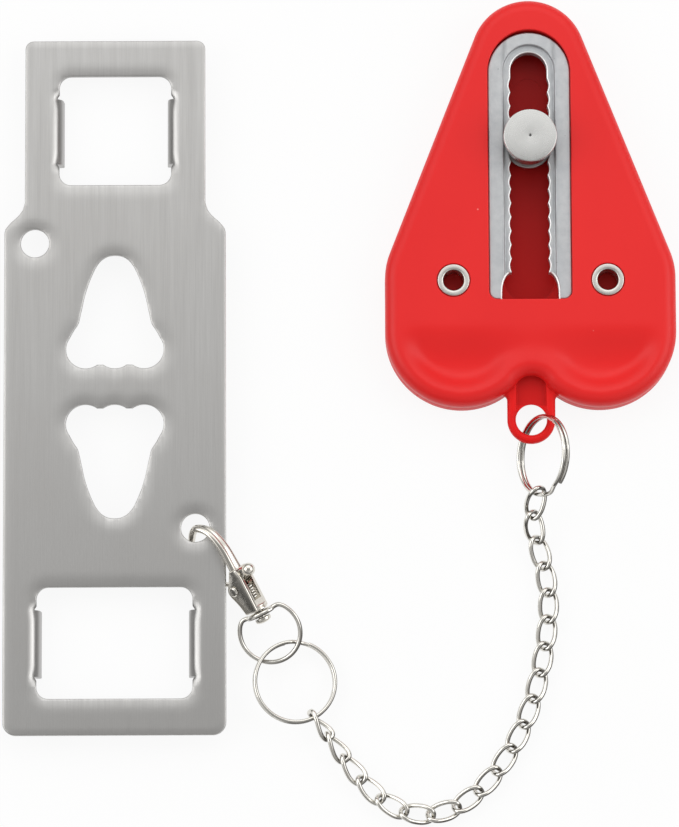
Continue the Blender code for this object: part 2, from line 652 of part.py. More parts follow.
def plate_outline():
    """Outline of the strike plate about its middle, with the narrower end upwards."""
    half_width = PLATE_WIDTH / 2
    half_length = PLATE_LENGTH / 2
    tab_half = TAB_WIDTH / 2
    tab_foot = half_length - TAB_LENGTH
    step = half_width - tab_half
    half = arc((tab_half - TAB_CORNER_RADIUS, half_length - TAB_CORNER_RADIUS), TAB_CORNER_RADIUS, 90, 0, 4)
    half += [(tab_half + step * across, tab_foot - SHOULDER_DROP * along) for across, along in SHOULDER_SHARES]
    half += arc((half_width - FOOT_CORNER_RADIUS, FOOT_CORNER_RADIUS - half_length), FOOT_CORNER_RADIUS, 0, -90, 4)
    return half + mirrored(half)


def window_outline(width, centre_y):
    """Outline of a window, with a bay in each side where a claw is bent out of the sheet."""
    bay = width / 2 - CLAW_PROUD + CLAW_BEND_RADIUS + PLATE_THICKNESS
    half_claw = CLAW_LENGTH / 2
    box = rounded_box((0, centre_y), width / 2, WINDOW_HEIGHT / 2, WINDOW_CORNER_RADIUS, 4)
    right = [(bay, centre_y - half_claw), (bay, centre_y + half_claw)]
    left = [(-bay, centre_y + half_claw), (-bay, centre_y - half_claw)]
    right = [(width / 2, centre_y - half_claw), *right, (width / 2, centre_y + half_claw)]
    left = [(-width / 2, centre_y + half_claw), *left, (-width / 2, centre_y - half_claw)]
    return right + box[:10] + left + box[10:]


def keyhole_outline(direction):
    """Outline of a keyhole: round narrow end, flared sides and three scallops for the knob's neck."""
    apex_y = KEY_NEAR_Y + KEY_LENGTH - KEY_NARROW_RADIUS
    scallop_y = KEY_NEAR_Y + SCALLOP_RADIUS
    cusp_deg = math.degrees(math.acos((SCALLOP_RADIUS - CUSP_HEIGHT) / SCALLOP_RADIUS))
    half = arc((0, apex_y), KEY_NARROW_RADIUS, 90, 18, 6)
    flare_x = SCALLOP_SPACING + SCALLOP_RADIUS * math.cos(math.radians(35))
    flare_y = scallop_y + SCALLOP_RADIUS * math.sin(math.radians(35))
    for across, along in KEY_SIDE_SHARES:
        half.append((KEY_WAIST_HALF_WIDTH + (flare_x - KEY_WAIST_HALF_WIDTH) * across,
                     KEY_WAIST_Y + (flare_y - KEY_WAIST_Y) * along))
    half += arc((SCALLOP_SPACING, scallop_y), SCALLOP_RADIUS, 35, -90 - cusp_deg, 9)
    half += arc((0, scallop_y), SCALLOP_RADIUS, cusp_deg - 90, -90, 2)
    return [(x, direction * y) for x, y in half + mirrored(half)[1:-1]]


def bend_claw(shape, bay_x, centre_y, foot):
    """Bend one claw down from the wall of its bay, in steps about the bend's axis, then straight."""
    side = math.copysign(1, bay_x)
    wall = next(face for face in shape.faces
                if abs(face.calc_center_median().x - bay_x) < WELD and abs(face.normal.x) > 0.9
                and abs(face.calc_center_median().y - centre_y) < CLAW_LENGTH / 4)
    low = min(vert.co.z for vert in wall.verts)
    axis = Vector((bay_x, centre_y, low - CLAW_BEND_RADIUS))
    steps = 4
    for _ in range(steps):
        wall = bmesh.ops.extrude_discrete_faces(shape, faces=[wall])["faces"][0]
        bmesh.ops.rotate(shape, verts=wall.verts, cent=axis, matrix=turn(-side * CLAW_BEND_DEG / steps, "Y"))
    wall = bmesh.ops.extrude_discrete_faces(shape, faces=[wall])["faces"][0]
    lean = math.radians(90 - CLAW_BEND_DEG)
    for vert in wall.verts:
        drop = vert.co.z - foot
        vert.co += Vector((-side * drop * math.tan(lean), 0, -drop))


def build_strike_plate(place):
    """Stamped plate: outline, two windows with claws, two keyholes and two round holes."""
    loops = [plate_outline(), keyhole_outline(1), keyhole_outline(-1)]
    loops += [circle((side * HOLE_X, -side * HOLE_Y), HOLE_RADIUS, 24) for side in (1, -1)]
    windows = ((SMALL_WINDOW_WIDTH, WINDOW_OFFSET), (LARGE_WINDOW_WIDTH, -WINDOW_OFFSET))
    loops += [window_outline(width, centre_y) for width, centre_y in windows]
    shape = outline_shape("strike_plate", loops, CLAW_DEPTH, CLAW_DEPTH + PLATE_THICKNESS)
    bmesh.ops.recalc_face_normals(shape, faces=shape.faces)
    for width, centre_y in windows:
        bay = width / 2 - CLAW_PROUD + CLAW_BEND_RADIUS + PLATE_THICKNESS
        for side in (1, -1):
            bend_claw(shape, side * bay, centre_y, 0)
    add_part("strike_plate", mesh_from("strike_plate", shape), BRUSHED_STEEL, place)


def split_ring_curve(name, outer_radius, end_deg):
    """Two turns of wire side by side, which change over in a short jog between the two ends."""
    mean = outer_radius - RING_WIRE_RADIUS
    steps = 26
    points = []
    total = 720 - RING_JOG_DEG - 2 * RING_END_GAP_DEG
    count = round(steps * total / 360)
    for index in range(count + 1):
        angle = total * index / count
        passed = (angle - (360 - RING_JOG_DEG - RING_END_GAP_DEG)) / RING_JOG_DEG
        passed = min(max(passed, 0), 1)
        lift = RING_COIL_PITCH * (passed * passed * (3 - 2 * passed) - 0.5)
        points.append(polar(mean, end_deg + angle) + Vector((0, 0, lift)))
    return wire_curve(name, points, RING_WIRE_RADIUS, 1)


def link_curve():
    """One curb link: a rounded loop of wire, twisted along its length."""
    half_length = LINK_LENGTH / 2 - LINK_WIRE_RADIUS
    half_width = LINK_WIDTH / 2 - LINK_WIRE_RADIUS
    count = 18
    points = []
    for index in range(count):
        angle = 2 * math.pi * index / count
        x = math.copysign(abs(math.cos(angle)) ** LINK_SQUARENESS, math.cos(angle))
        y = math.copysign(abs(math.sin(angle)) ** LINK_SQUARENESS, math.sin(angle))
        roll = math.radians(LINK_TWIST_DEG * x)
        points.append((half_length * x, half_width * y * math.cos(roll), half_width * y * math.sin(roll)))
    return wire_curve("curb_link", points, LINK_WIRE_RADIUS, 1, closed=True)


def chain_pitch(number, drop):
    """Slope of one link: the first two come down from the body ring, the last two rise to the other."""
    rise = RING_LINK_LEVEL - CHAIN_LEVEL
    if number <= 2:
        share = FIRST_DROP_SHARE if number == 1 else 1 - FIRST_DROP_SHARE
        return -math.degrees(math.asin(drop * share / (2 * LINK_REACH)))
    if number > LINK_COUNT - 2:
        return math.degrees(math.asin(rise / (4 * LINK_REACH)))
    return 0


def tether_places():
    """Where each piece of the tether lies, and the point where it hangs on the piece before it."""
    places = {}
    pivots = {}
    lean = turn(-BODY_RING_LEAN_DEG, "Y")
    mean = BODY_RING_RADIUS - RING_WIRE_RADIUS
    pivot = Vector((BODY_RING_SIDE, LOOP_CENTRE_Y - BODY_RING_DROP, LOOP_BOTTOM + LOOP_THICKNESS / 2))
    pivots["body_ring"] = pivot
    places["body_ring"] = Matrix.Translation(pivot - lean @ polar(mean, BODY_RING_HANG_DEG)) @ lean
    pivot = places["body_ring"] @ polar(mean - RING_WIRE_RADIUS - RING_PLAY / 2, BODY_RING_LINK_DEG)
    drop = pivot.z - CHAIN_LEVEL
    heading = CHAIN_START_DEG
    for number in range(1, LINK_COUNT + 1):
        pitch = chain_pitch(number, drop)
        frame = turn(heading, "Z") @ turn(-pitch, "Y") @ turn(LINK_ROLLS_DEG.get(number, 0), "X")
        reach = frame @ Vector((LINK_REACH, 0, 0))
        name = f"link_{number:02d}"
        pivots[name] = pivot
        places[name] = Matrix.Translation(pivot + reach) @ frame
        pivot = pivot + 2 * reach
        heading += CHAIN_BENDS_DEG[number - 1] if number < LINK_COUNT else 0
    tilt = turn(LARGE_RING_HEADING_DEG, "Z") @ turn(-LARGE_RING_TILT_DEG, "Y") @ turn(-LARGE_RING_HEADING_DEG, "Z")
    inner = LARGE_RING_RADIUS - 2 * RING_WIRE_RADIUS
    pivots["large_ring"] = pivot
    ring_centre = pivot + tilt @ polar(inner - RING_PLAY / 2, RING_FROM_LINK_DEG)
    places["large_ring"] = Matrix.Translation(ring_centre) @ tilt
    eye_reach = inner + EYE_RADIUS - 2 * EYE_WIRE_RADIUS - EYE_SLACK
    eye_centre = ring_centre + polar(eye_reach, EYE_FROM_RING_DEG)
    eye_centre.z = EYE_LEVEL
    hook = turn(HOOK_HEADING_DEG, "Z") @ turn(-HOOK_PITCH_DEG, "Y")
    pivots["swivel_eye"] = ring_centre
    places["swivel_eye"] = Matrix.Translation(eye_centre) @ hook @ turn(-EYE_ROLL_DEG, "X")
    hook_origin = eye_centre + hook @ Vector((HOOK_FROM_EYE, 0, 0))
    pivots["hook"] = hook_origin
    places["hook"] = Matrix.Translation(hook_origin) @ hook @ turn(-HOOK_ROLL_DEG, "X")
    bend = places["hook"] @ Vector((BEND_X, BEND_Y, 0))
    pivots["gate"] = places["hook"] @ Vector((PIVOT_X, PIVOT_Y, 0))
    pivots["strike_plate"] = bend
    plate = Vector((bend.x - BEND_SIDE - HOLE_X, bend.y + BEND_DROP + HOLE_Y, 0))
    places["strike_plate"] = Matrix.Translation(plate)
    return places, pivots


def build_chain(places):
    """Body ring, all the links on one shared shape, and the large ring."""
    curve = split_ring_curve("body_ring", BODY_RING_RADIUS, BODY_RING_END_DEG)
    add_part("body_ring", curve, NICKEL, places["body_ring"])
    link = link_curve()
    for number in range(1, LINK_COUNT + 1):
        name = f"link_{number:02d}"
        add_part(name, link, NICKEL, places[name])
    curve = split_ring_curve("large_ring", LARGE_RING_RADIUS, LARGE_RING_END_DEG)
    add_part("large_ring", curve, NICKEL, places["large_ring"])


def build_swivel_eye(place):
    """Ring of wire whose ends run into a flat crown with a bore for the hook's post."""
    mean = EYE_RADIUS - EYE_WIRE_RADIUS
    points = [(*point, 0) for point in arc((0, 0), mean, EYE_OPENING_DEG, 360 - EYE_OPENING_DEG, 30)]
    inside = (CROWN_FROM_CENTRE, CROWN_HALF_WIDTH * 0.7, 0)
    points = [inside, *points, (inside[0], -inside[1], 0)]
    shape = bmesh_from_curve(wire_curve("swivel_eye", points, EYE_WIRE_RADIUS, 1))
    eye = add_part("swivel_eye", mesh_from("swivel_eye", shape), NICKEL, place)
    across = turn(90, "Y")
    shape = bmesh.new()
    bmesh.ops.create_cone(shape, cap_ends=True, segments=24, radius1=1, radius2=1, depth=1)
    bmesh.ops.scale(shape, verts=shape.verts, vec=(CROWN_HALF_DEPTH, CROWN_HALF_WIDTH, CROWN_THICKNESS))
    rims = [edge for edge in shape.edges if abs(edge.verts[0].co.z - edge.verts[1].co.z) < WELD]
    bmesh.ops.bevel(shape, geom=rims, offset=CROWN_THICKNESS / 4, segments=2, profile=0.5, affect="EDGES", material=-1)
    crown_place = place @ Matrix.Translation((CROWN_FROM_CENTRE, 0, 0)) @ across
    combine(eye, add_cutter("eye_crown", mesh_from("eye_crown", shape), crown_place), "UNION")
    bore = disc_profile(POST_RADIUS + GAP, -CROWN_THICKNESS, CROWN_THICKNESS)
    combine(eye, turned_cutter("post_bore", bore, 16, crown_place), "DIFFERENCE")


def flattened_tube(name, path, radii, ratios, resolution):
    """Tube along a flat path, made wider across the path by a ratio that changes along X."""
    shape = bmesh_from_curve(wire_curve(name, path, 1, resolution, radii=radii))
    start, end = ratios
    for vert in shape.verts:
        share = min(max(vert.co.x / HOOK_REACH, 0), 1)
        vert.co.z *= start + (end - start) * share
    return mesh_from(name, shape)


def build_hook_body(place):
    """Cheeks and spine, the tapering arch, and the base with its post and peened head."""
    spine = [(0, -SPINE_BACK), (CHEEK_LENGTH * 0.8, -SPINE_BACK), (CHEEK_LENGTH, -SPINE_BACK * 0.6)]
    front = [(CHEEK_LENGTH * across, CHEEK_DEPTH * along) for across, along in reversed(CHEEK_SHARES)]
    shape = outline_shape("hook_body", [spine + front], -HOOK_WIDTH / 2, HOOK_WIDTH / 2)
    rims = [edge for edge in shape.edges if len(edge.link_faces) == 2 and edge.calc_face_angle() > 1.2]
    bmesh.ops.bevel(shape, geom=rims, offset=CHEEK_EDGE_RADIUS, segments=2, profile=0.5, affect="EDGES", material=-1)
    body = add_part("hook_body", mesh_from("hook_body", shape), NICKEL, place)
    path = smooth_path([(HOOK_REACH * along, HOOK_THROAT * across, 0) for along, across in ARCH_SHARES], 2)
    last = len(path) - 1
    radii = [ARCH_ROOT_HALF_THICKNESS + (ARCH_TIP_HALF_THICKNESS - ARCH_ROOT_HALF_THICKNESS) * index / last
             for index in range(last + 1)]
    ratios = (ARCH_ROOT_HALF_WIDTH / ARCH_ROOT_HALF_THICKNESS, ARCH_TIP_HALF_WIDTH / ARCH_TIP_HALF_THICKNESS)
    combine(body, add_cutter("hook_arch", flattened_tube("hook_arch", path, radii, ratios, 2), place), "UNION")
    rivet_top = -2 * GAP - CROWN_THICKNESS
    rivet_low = rivet_top - RIVET_THICKNESS
    dome = RIVET_THICKNESS / 2
    post = [(0, BASE_THICKNESS), (BASE_RADIUS, BASE_THICKNESS), (BASE_RADIUS, 0), (POST_RADIUS, 0),
            (POST_RADIUS, rivet_top), (RIVET_RADIUS, rivet_top), (RIVET_RADIUS, rivet_low + dome),
            (RIVET_RADIUS * 0.75, rivet_low), (0, rivet_low)]
    combine(body, turned_cutter("hook_post", post, 20, place @ turn(90, "Y")), "UNION")
    slot = outline_mesh("gate_slot", [[(CHANNEL_START, -SPINE_BACK - OVERRUN), (CHANNEL_END, -SPINE_BACK - OVERRUN),
                                       (CHANNEL_END, CHEEK_DEPTH + OVERRUN), (CHANNEL_START, CHEEK_DEPTH + OVERRUN)]],
                        -HOOK_CHANNEL / 2, HOOK_CHANNEL / 2)
    combine(body, add_cutter("gate_slot", slot, place), "DIFFERENCE")
    bore = disc_profile(PIVOT_RADIUS + FINE_GAP, -HOOK_WIDTH, HOOK_WIDTH)
    pivot_place = place @ Matrix.Translation((PIVOT_X, PIVOT_Y, 0))
    combine(body, turned_cutter("pivot_bore", bore, 16, pivot_place), "DIFFERENCE")


def build_gate(place):
    """Gate lever about its rivet, the rivet through both cheeks, and the spring that closes the gate."""
    pivot_place = place @ Matrix.Translation((PIVOT_X, PIVOT_Y, 0))
    hub = [(GATE_HUB_RADIUS, GATE_HALF_WIDTH), (GATE_HUB_RADIUS, -GATE_HALF_WIDTH)]
    bore = PIVOT_RADIUS + FINE_GAP
    hub += [(bore, -GATE_HALF_WIDTH), (bore, GATE_HALF_WIDTH)]
    gate = turned_part("gate_lever", hub, True, 20, pivot_place, NICKEL)
    outside = GATE_HUB_RADIUS * 0.8
    end = Vector((GATE_END_X - PIVOT_X, GATE_END_Y - PIVOT_Y, 0))
    start = end.normalized() * outside
    middle = end * GATE_BOW_AT_SHARE + Vector((-end.y, end.x, 0)) * GATE_BOW_SHARE
    ratio = GATE_HALF_WIDTH / GATE_HALF_THICKNESS
    arm_path = smooth_path([tuple(start), tuple(middle), tuple(end)], 3)
    arm = flattened_tube("gate_arm", arm_path, [GATE_HALF_THICKNESS] * len(arm_path), (ratio, ratio * 0.75), 2)
    combine(gate, add_cutter("gate_arm", arm, pivot_place), "UNION")
    ball = Vector((BALL_X - PIVOT_X, BALL_Y - PIVOT_Y, 0))
    tail_path = [tuple(ball.normalized() * outside), tuple(ball)]
    tail = flattened_tube("gate_tail", tail_path, [GATE_HALF_THICKNESS] * 2, (ratio * 0.9, ratio * 0.9), 2)
    combine(gate, add_cutter("gate_tail", tail, pivot_place), "UNION")
    shape = bmesh.new()
    bmesh.ops.create_uvsphere(shape, u_segments=16, v_segments=10, radius=BALL_RADIUS)
    knob = add_cutter("gate_ball", mesh_from("gate_ball", shape), pivot_place @ Matrix.Translation(ball))
    combine(gate, knob, "UNION")
    seat = HOOK_WIDTH / 2 + FINE_GAP
    top = seat + PIVOT_HEAD_THICKNESS
    rivet = [(0, top), (PIVOT_HEAD_RADIUS * 0.7, top), (PIVOT_HEAD_RADIUS, seat), (PIVOT_RADIUS, seat)]
    rivet += [(radius, -height) for radius, height in reversed(rivet)]
    turned_part("gate_pivot", rivet, False, 16, pivot_place, NICKEL)
    points = []
    count = 8 * SPRING_TURNS
    for index in range(count + 1):
        point = polar(SPRING_RADIUS, 360 * SPRING_TURNS * index / count)
        points.append((CHANNEL_START + GAP + SPRING_WIRE_RADIUS + SPRING_LENGTH * index / count,
                       SPRING_Y + point.x, point.y))
    add_part("gate_spring", wire_curve("gate_spring", points, SPRING_WIRE_RADIUS, 1), NICKEL, place)


def build_door_lock():
    """Make the whole product."""
    clear_scene()
    build_front_shell()
    build_back_shell()
    build_slot_insert()
    build_eyelets()
    build_knob()
    places, _ = tether_places()
    build_chain(places)
    build_swivel_eye(places["swivel_eye"])
    build_hook_body(places["hook"])
    build_gate(places["hook"])
    build_strike_plate(places["strike_plate"])


build_door_lock()
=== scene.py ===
import math

import bmesh
import bpy
from mathutils import Matrix, Vector, kdtree


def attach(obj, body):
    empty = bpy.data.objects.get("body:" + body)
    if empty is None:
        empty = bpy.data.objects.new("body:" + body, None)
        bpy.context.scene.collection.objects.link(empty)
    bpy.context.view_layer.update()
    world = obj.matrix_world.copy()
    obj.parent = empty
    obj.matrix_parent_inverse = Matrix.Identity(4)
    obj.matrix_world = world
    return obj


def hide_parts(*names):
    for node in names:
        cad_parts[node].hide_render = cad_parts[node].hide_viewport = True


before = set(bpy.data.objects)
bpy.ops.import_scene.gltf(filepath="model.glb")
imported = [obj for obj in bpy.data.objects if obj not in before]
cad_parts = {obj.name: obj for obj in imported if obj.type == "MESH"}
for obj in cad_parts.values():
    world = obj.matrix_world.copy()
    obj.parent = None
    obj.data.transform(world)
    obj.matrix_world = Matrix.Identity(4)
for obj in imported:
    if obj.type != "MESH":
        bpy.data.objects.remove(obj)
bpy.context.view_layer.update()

# Sizes in metres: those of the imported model, and those of the forms that only the scene has
MM = 0.001
GAP = 0.3 * MM
FINE_GAP = 0.15 * MM
OVERRUN = 1.0 * MM
WELD = 0.001 * MM
OUTLINE_STEP = 0.3 * MM
SHARP_DEG = 35

# Lock body
BODY_THICKNESS = 10.0 * MM
BODY_WIDTH = 65.5 * MM
CAP_RADIUS = 13.0 * MM
CAP_CENTRE_Y = 19.5 * MM
SHOULDER_RADIUS = 16.0 * MM
SHOULDER_CENTRE_Y = -31.2079 * MM
LOBE_RADIUS = 17.2 * MM
LOBE_CENTRE_Y = -43.3 * MM
BACK_SHELL_HEIGHT = 4.6 * MM
FRONT_EDGE_RADIUS = 3.0 * MM
BACK_EDGE_RADIUS = 1.2 * MM
CAVITY_HALF_WIDTH = 6.3 * MM
CAVITY_FLOOR = 1.8 * MM
PARTING = 4.9 * MM
PARTING_LIP = 0.15 * MM
CAVITY_FLOOR_RADIUS = 0.6 * MM
PIN_MARK_Y = 12.6 * MM
PIN_MARK_RADIUS = 3.0 * MM
PIN_MARK_DEPTH = 0.12 * MM

# Tether loop, and the notch that it stands in
LOOP_RADIUS = 5.4 * MM
LOOP_HOLE_RADIUS = 3.5 * MM
LOOP_CENTRE_Y = -63.25 * MM
LOOP_ROOT_Y = -58.5 * MM
LOOP_BOTTOM = 4.0 * MM
LOOP_TOP = 6.8 * MM
LOOP_EDGE = 0.95 * MM
LOOP_FIT = 0.05 * MM
LOOP_FILLET = 1.1 * MM
LOOP_FILLET_Y = -58.9 * MM
WEB_HALF_WIDTH = 3.3 * MM
WEB_DEPTH = 1.25 * MM
WEB_LOW_Y = LOOP_CENTRE_Y + 1.2 * MM
WEB_HIGH_Y = LOOP_ROOT_Y + LOOP_RADIUS - 0.2 * MM
WEB_CORNER_RADIUS = 1.2 * MM
WEB_FLOOR_RADIUS = 0.25 * MM
WEB_RIM = 0.5 * MM
ARCH_NOTCH_RADIUS = 3.9 * MM
ARCH_NOTCH_Y = -57.3 * MM

# Finger hollows
HOLLOW_DEPTH = 2.6 * MM
HOLLOW_FROM_Y = -42.0 * MM
HOLLOW_RUN = 10.0 * MM
HOLLOW_RIM = 2.9 * MM
HOLLOW_SLOPE = 4.8 * MM
RIDGE_HALF_WIDTH = 8.5 * MM
RIDGE_SHARE = 0.72
HOLLOW_GRID = 0.9 * MM

# Slot insert
INSERT_HALF_WIDTH = 9.3 * MM
INSERT_TOP_Y = 24.8 * MM
INSERT_BOTTOM_Y = -36.3 * MM
INSERT_CORNER_RADIUS = 1.8 * MM
INSERT_TOP = 9.2 * MM
INSERT_EDGE = 0.35 * MM
INSERT_SEAT_LIP = 0.25 * MM
CROWN_GAP = 0.5 * MM
CHANNEL_HALF_WIDTH = 5.8 * MM
CHANNEL_TOP_Y = 22.0 * MM
CHANNEL_FLOOR = 8.0 * MM
CHANNEL_FLOOR_RADIUS = 0.35 * MM
CHANNEL_RIM = 0.3 * MM
SLOT_HALF_WIDTH = 4.15 * MM
SLOT_TOP_Y = 20.5 * MM
TOOTH_PITCH = 3.18 * MM
TOOTH_DEPTH = 0.4 * MM
TOOTH_COUNT = 14
TEETH_END_Y = -30.0 * MM
MOUTH_HALF_WIDTH = 6.4 * MM
MOUTH_DROP = 4.5 * MM
SLOT_LIP = 0.34 * MM
SLOT_LIP_DEPTH = 0.2 * MM
INSERT_FIT = 0.05 * MM
EAR_THICKNESS = 1.4 * MM
EAR_RADIUS = 4.2 * MM

# Eyelets
EYELET_X = 17.35 * MM
EYELET_Y = -32.05 * MM
EYELET_TOP = 10.25 * MM
EYELET_FLANGE_RADIUS = 3.6 * MM
EYELET_FLANGE = 0.5 * MM
EYELET_BARREL_RADIUS = 2.8 * MM
EYELET_BORE_RADIUS = 2.35 * MM
EYELET_FLARE_RADIUS = 3.4 * MM
EYELET_FLARE = 0.5 * MM
EYELET_MOUTH = 0.35 * MM
EYELET_MOUTH_DROP = 0.12 * MM
EYELET_EDGE = 0.24 * MM
EYELET_SEAT_LIP = 0.25 * MM

# Knob, collar and washer
HEAD_RADIUS = 6.0 * MM
HEAD_LOW = 12.6 * MM
HEAD_TOP = 15.2 * MM
HEAD_EDGE = 0.28 * MM
DIMPLE_RADIUS = 0.28 * MM
DIMPLE_DEPTH = 0.25 * MM
NECK_RADIUS = 3.85 * MM
NECK_LOW = 10.3 * MM
COLLAR_RADIUS = 5.5 * MM
COLLAR_TOP = 10.0 * MM
COLLAR_EDGE = 0.2 * MM
WASHER_THICKNESS = 1.4 * MM
WASHER_EDGE = 0.15 * MM
SHANK_RADIUS = 2.3 * MM
PEEN_RADIUS = 3.3 * MM
PEEN_TOP = 2.9 * MM
PEEN_LOW = 2.3 * MM

# Strike plate
PLATE_WIDTH = 50.0 * MM
PLATE_LENGTH = 157.8 * MM
PLATE_THICKNESS = 1.5 * MM
TAB_WIDTH = 40.8 * MM
TAB_LENGTH = 37.1 * MM
TAB_CORNER_RADIUS = 1.9 * MM
FOOT_CORNER_RADIUS = 3.0 * MM
SHOULDER_DROP = 7.0 * MM
SHOULDER_SHARES = ((0.0, 0.0), (0.04, 0.12), (0.12, 0.27), (0.27, 0.41), (0.45, 0.53), (0.66, 0.65),
                   (0.83, 0.77), (0.95, 0.88), (1.0, 1.0))
WINDOW_OFFSET = 58.2 * MM
SMALL_WINDOW_WIDTH = 25.3 * MM
LARGE_WINDOW_WIDTH = 34.9 * MM
WINDOW_HEIGHT = 25.0 * MM
WINDOW_CORNER_RADIUS = 2.7 * MM
CLAW_LENGTH = 15.0 * MM
CLAW_DEPTH = 4.5 * MM
CLAW_BEND_RADIUS = 1.7 * MM
CLAW_BEND_DEG = 87.0
CLAW_PROUD = 0.8 * MM
CLAW_FADE = 2.6 * MM
CLAW_END_FADE = 0.8 * MM
BEND_OUTER = CLAW_BEND_RADIUS + PLATE_THICKNESS
BEND_ROOM = BEND_OUTER - CLAW_PROUD
BEND_TURN = math.radians(CLAW_BEND_DEG)
BEND_RUN = BEND_OUTER * BEND_TURN
BEND_AXIS_Z = CLAW_DEPTH - CLAW_BEND_RADIUS
CLAW_STRAIGHT = (BEND_AXIS_Z + CLAW_BEND_RADIUS * math.cos(BEND_TURN)) / math.sin(BEND_TURN)
CLAW_REACH = BEND_RUN + CLAW_STRAIGHT - BEND_ROOM
HOLE_RADIUS = 3.2 * MM
HOLE_X = 18.1 * MM
HOLE_Y = 32.4 * MM
KEY_NEAR_Y = 3.8 * MM
KEY_LENGTH = 25.8 * MM
KEY_WAIST_HALF_WIDTH = 8.1 * MM
KEY_WAIST_Y = 14.4 * MM
KEY_TOP_SHARES = ((0.0, 1.0), (0.12, 0.994), (0.23, 0.977), (0.37, 0.93), (0.49, 0.855), (0.58, 0.77),
                  (0.73, 0.58), (0.84, 0.39), (0.915, 0.205), (0.985, 0.04))
KEY_SIDE_SHARES = ((0.0, 0.0), (0.08, 0.11), (0.18, 0.22), (0.3, 0.32), (0.46, 0.45), (0.62, 0.6))
LOWER_KEY_SHIFT = 0.6 * MM
SCALLOP_RADIUS = 4.4 * MM
SCALLOP_SPACING = 6.6 * MM
FLARE_DEG = 35
CUSP_HEIGHT = 0.85 * MM
PLATE_EDGE = 0.22 * MM
DIE_ROLL = 0.3 * MM
DIE_ROLL_RUN = 3.0 * MM
RIM_ROLL = 0.16 * MM
RIM_ROLL_RUN = 1.8 * MM
PLATE_GRID = 1.0 * MM
PLATE_GRID_MARGIN = 0.7 * MM
BEND_GRID = 0.28 * MM
BEND_GRID_MARGIN = 0.1 * MM
CLAW_END_GRID = 0.4 * MM

# Rings; their wire is drawn a little finer than its gauge
RING_WIRE_RADIUS = 0.5 * MM
RING_WIRE_DRAW = 0.035 * MM
RING_WIRE_EDGE = 0.12 * MM
RING_STEPS = 190
RING_COIL_PITCH = 1.05 * MM
RING_JOG_DEG = 26.0
RING_END_GAP_DEG = 4.0
BODY_RING_RADIUS = 9.3 * MM
BODY_RING_LEAN_DEG = 57.0
BODY_RING_SIDE = 0.4 * MM
BODY_RING_DROP = 0.45 * MM
BODY_RING_HANG_DEG = 115.0
BODY_RING_LINK_DEG = -103.0
BODY_RING_END_DEG = -50.0
LARGE_RING_RADIUS = 9.55 * MM
LARGE_RING_TILT_DEG = 10.0
LARGE_RING_HEADING_DEG = 203.0
LARGE_RING_END_DEG = 104.0
RING_FROM_LINK_DEG = 118.0
RING_LINK_LEVEL = 2.75 * MM

# Chain
LINK_COUNT = 20
LINK_LENGTH = 8.5 * MM
LINK_WIDTH = 4.84 * MM
LINK_WIRE_RADIUS = 0.53 * MM
LINK_PLAY = 0.3 * MM
RING_PLAY = 0.8 * MM
LINK_TWIST_DEG = 45.0
LINK_SQUARENESS = 0.7
CHAIN_LEVEL = 1.65 * MM
CHAIN_START_DEG = -106.0
CHAIN_BENDS_DEG = (27.0, 5.0, -7.0, -10.0, -6.5, -3.5, -4.0, -5.5, -6.5, -7.0, -8.0, -12.5, -19.0, -23.5,
                   -22.5, -16.0, -7.5, -1.5, 1.5)
LINK_ROLLS_DEG = {1: -3.0, 15: 3.0, 16: 8.0, 17: 17.0, 18: 30.0, 19: 49.0, 20: 69.0}
FIRST_DROP_SHARE = 0.5
LINK_REACH = LINK_LENGTH / 2 - 2 * LINK_WIRE_RADIUS - LINK_PLAY / 2

# Swivel eye
EYE_RADIUS = 7.4 * MM
EYE_WIRE_RADIUS = 0.55 * MM
EYE_SLACK = 2.45 * MM
EYE_FROM_RING_DEG = 116.5
EYE_LEVEL = 3.85 * MM
EYE_ROLL_DEG = 15.0
EYE_LEAVE_DEG = 53.0
CROWN_FROM_CENTRE = 4.75 * MM
CROWN_HALF_WIDTH = 3.6 * MM
CROWN_HALF_DEPTH = 2.3 * MM
CROWN_THICKNESS = 1.3 * MM
LEAVE_OUT = 0.22 * MM
LEAVE_BACK = 0.12 * MM
LEAVE_SIDE_SHARES = (0.6, 1.02, 1.28)
HOOK_FROM_EYE = CROWN_FROM_CENTRE + CROWN_THICKNESS / 2 + GAP

# Hook, gate and rivets
HOOK_HEADING_DEG = 117.0
HOOK_PITCH_DEG = 12.0
HOOK_ROLL_DEG = 43.6
HOOK_WIDTH = 4.6 * MM
HOOK_CHANNEL = 2.6 * MM
CHANNEL_START = 2.4 * MM
CHANNEL_END = 9.9 * MM
SPINE_BACK = 1.4 * MM
CHEEK_LENGTH = 10.6 * MM
CHEEK_DEPTH = 4.0 * MM
CHEEK_EDGE_RADIUS = 0.35 * MM
CHEEK_CORNER = 1.2 * MM
BASE_RADIUS = 2.2 * MM
BASE_THICKNESS = 1.0 * MM
BASE_GROOVE = 0.16 * MM
BASE_EDGE = 0.1 * MM
POST_RADIUS = 0.95 * MM
RIVET_RADIUS = 1.85 * MM
RIVET_THICKNESS = 1.3 * MM
HOOK_REACH = 22.2 * MM
HOOK_THROAT = 9.5 * MM
ARCH_ROOT_HALF_WIDTH = 2.0 * MM
ARCH_TIP_HALF_WIDTH = 0.85 * MM
ARCH_ROOT_HALF_THICKNESS = 1.05 * MM
ARCH_TIP_HALF_THICKNESS = 0.75 * MM
ARCH_RIB = 0.26 * MM
ARCH_END_STEP = 0.22 * MM
ARCH_SHARES = ((0.36, 0.03), (0.47, 0.065), (0.56, 0.075), (0.675, 0.09), (0.79, 0.145), (0.89, 0.24),
               (0.96, 0.39), (1.0, 0.6), (0.975, 0.75), (0.925, 0.865), (0.86, 1.0))
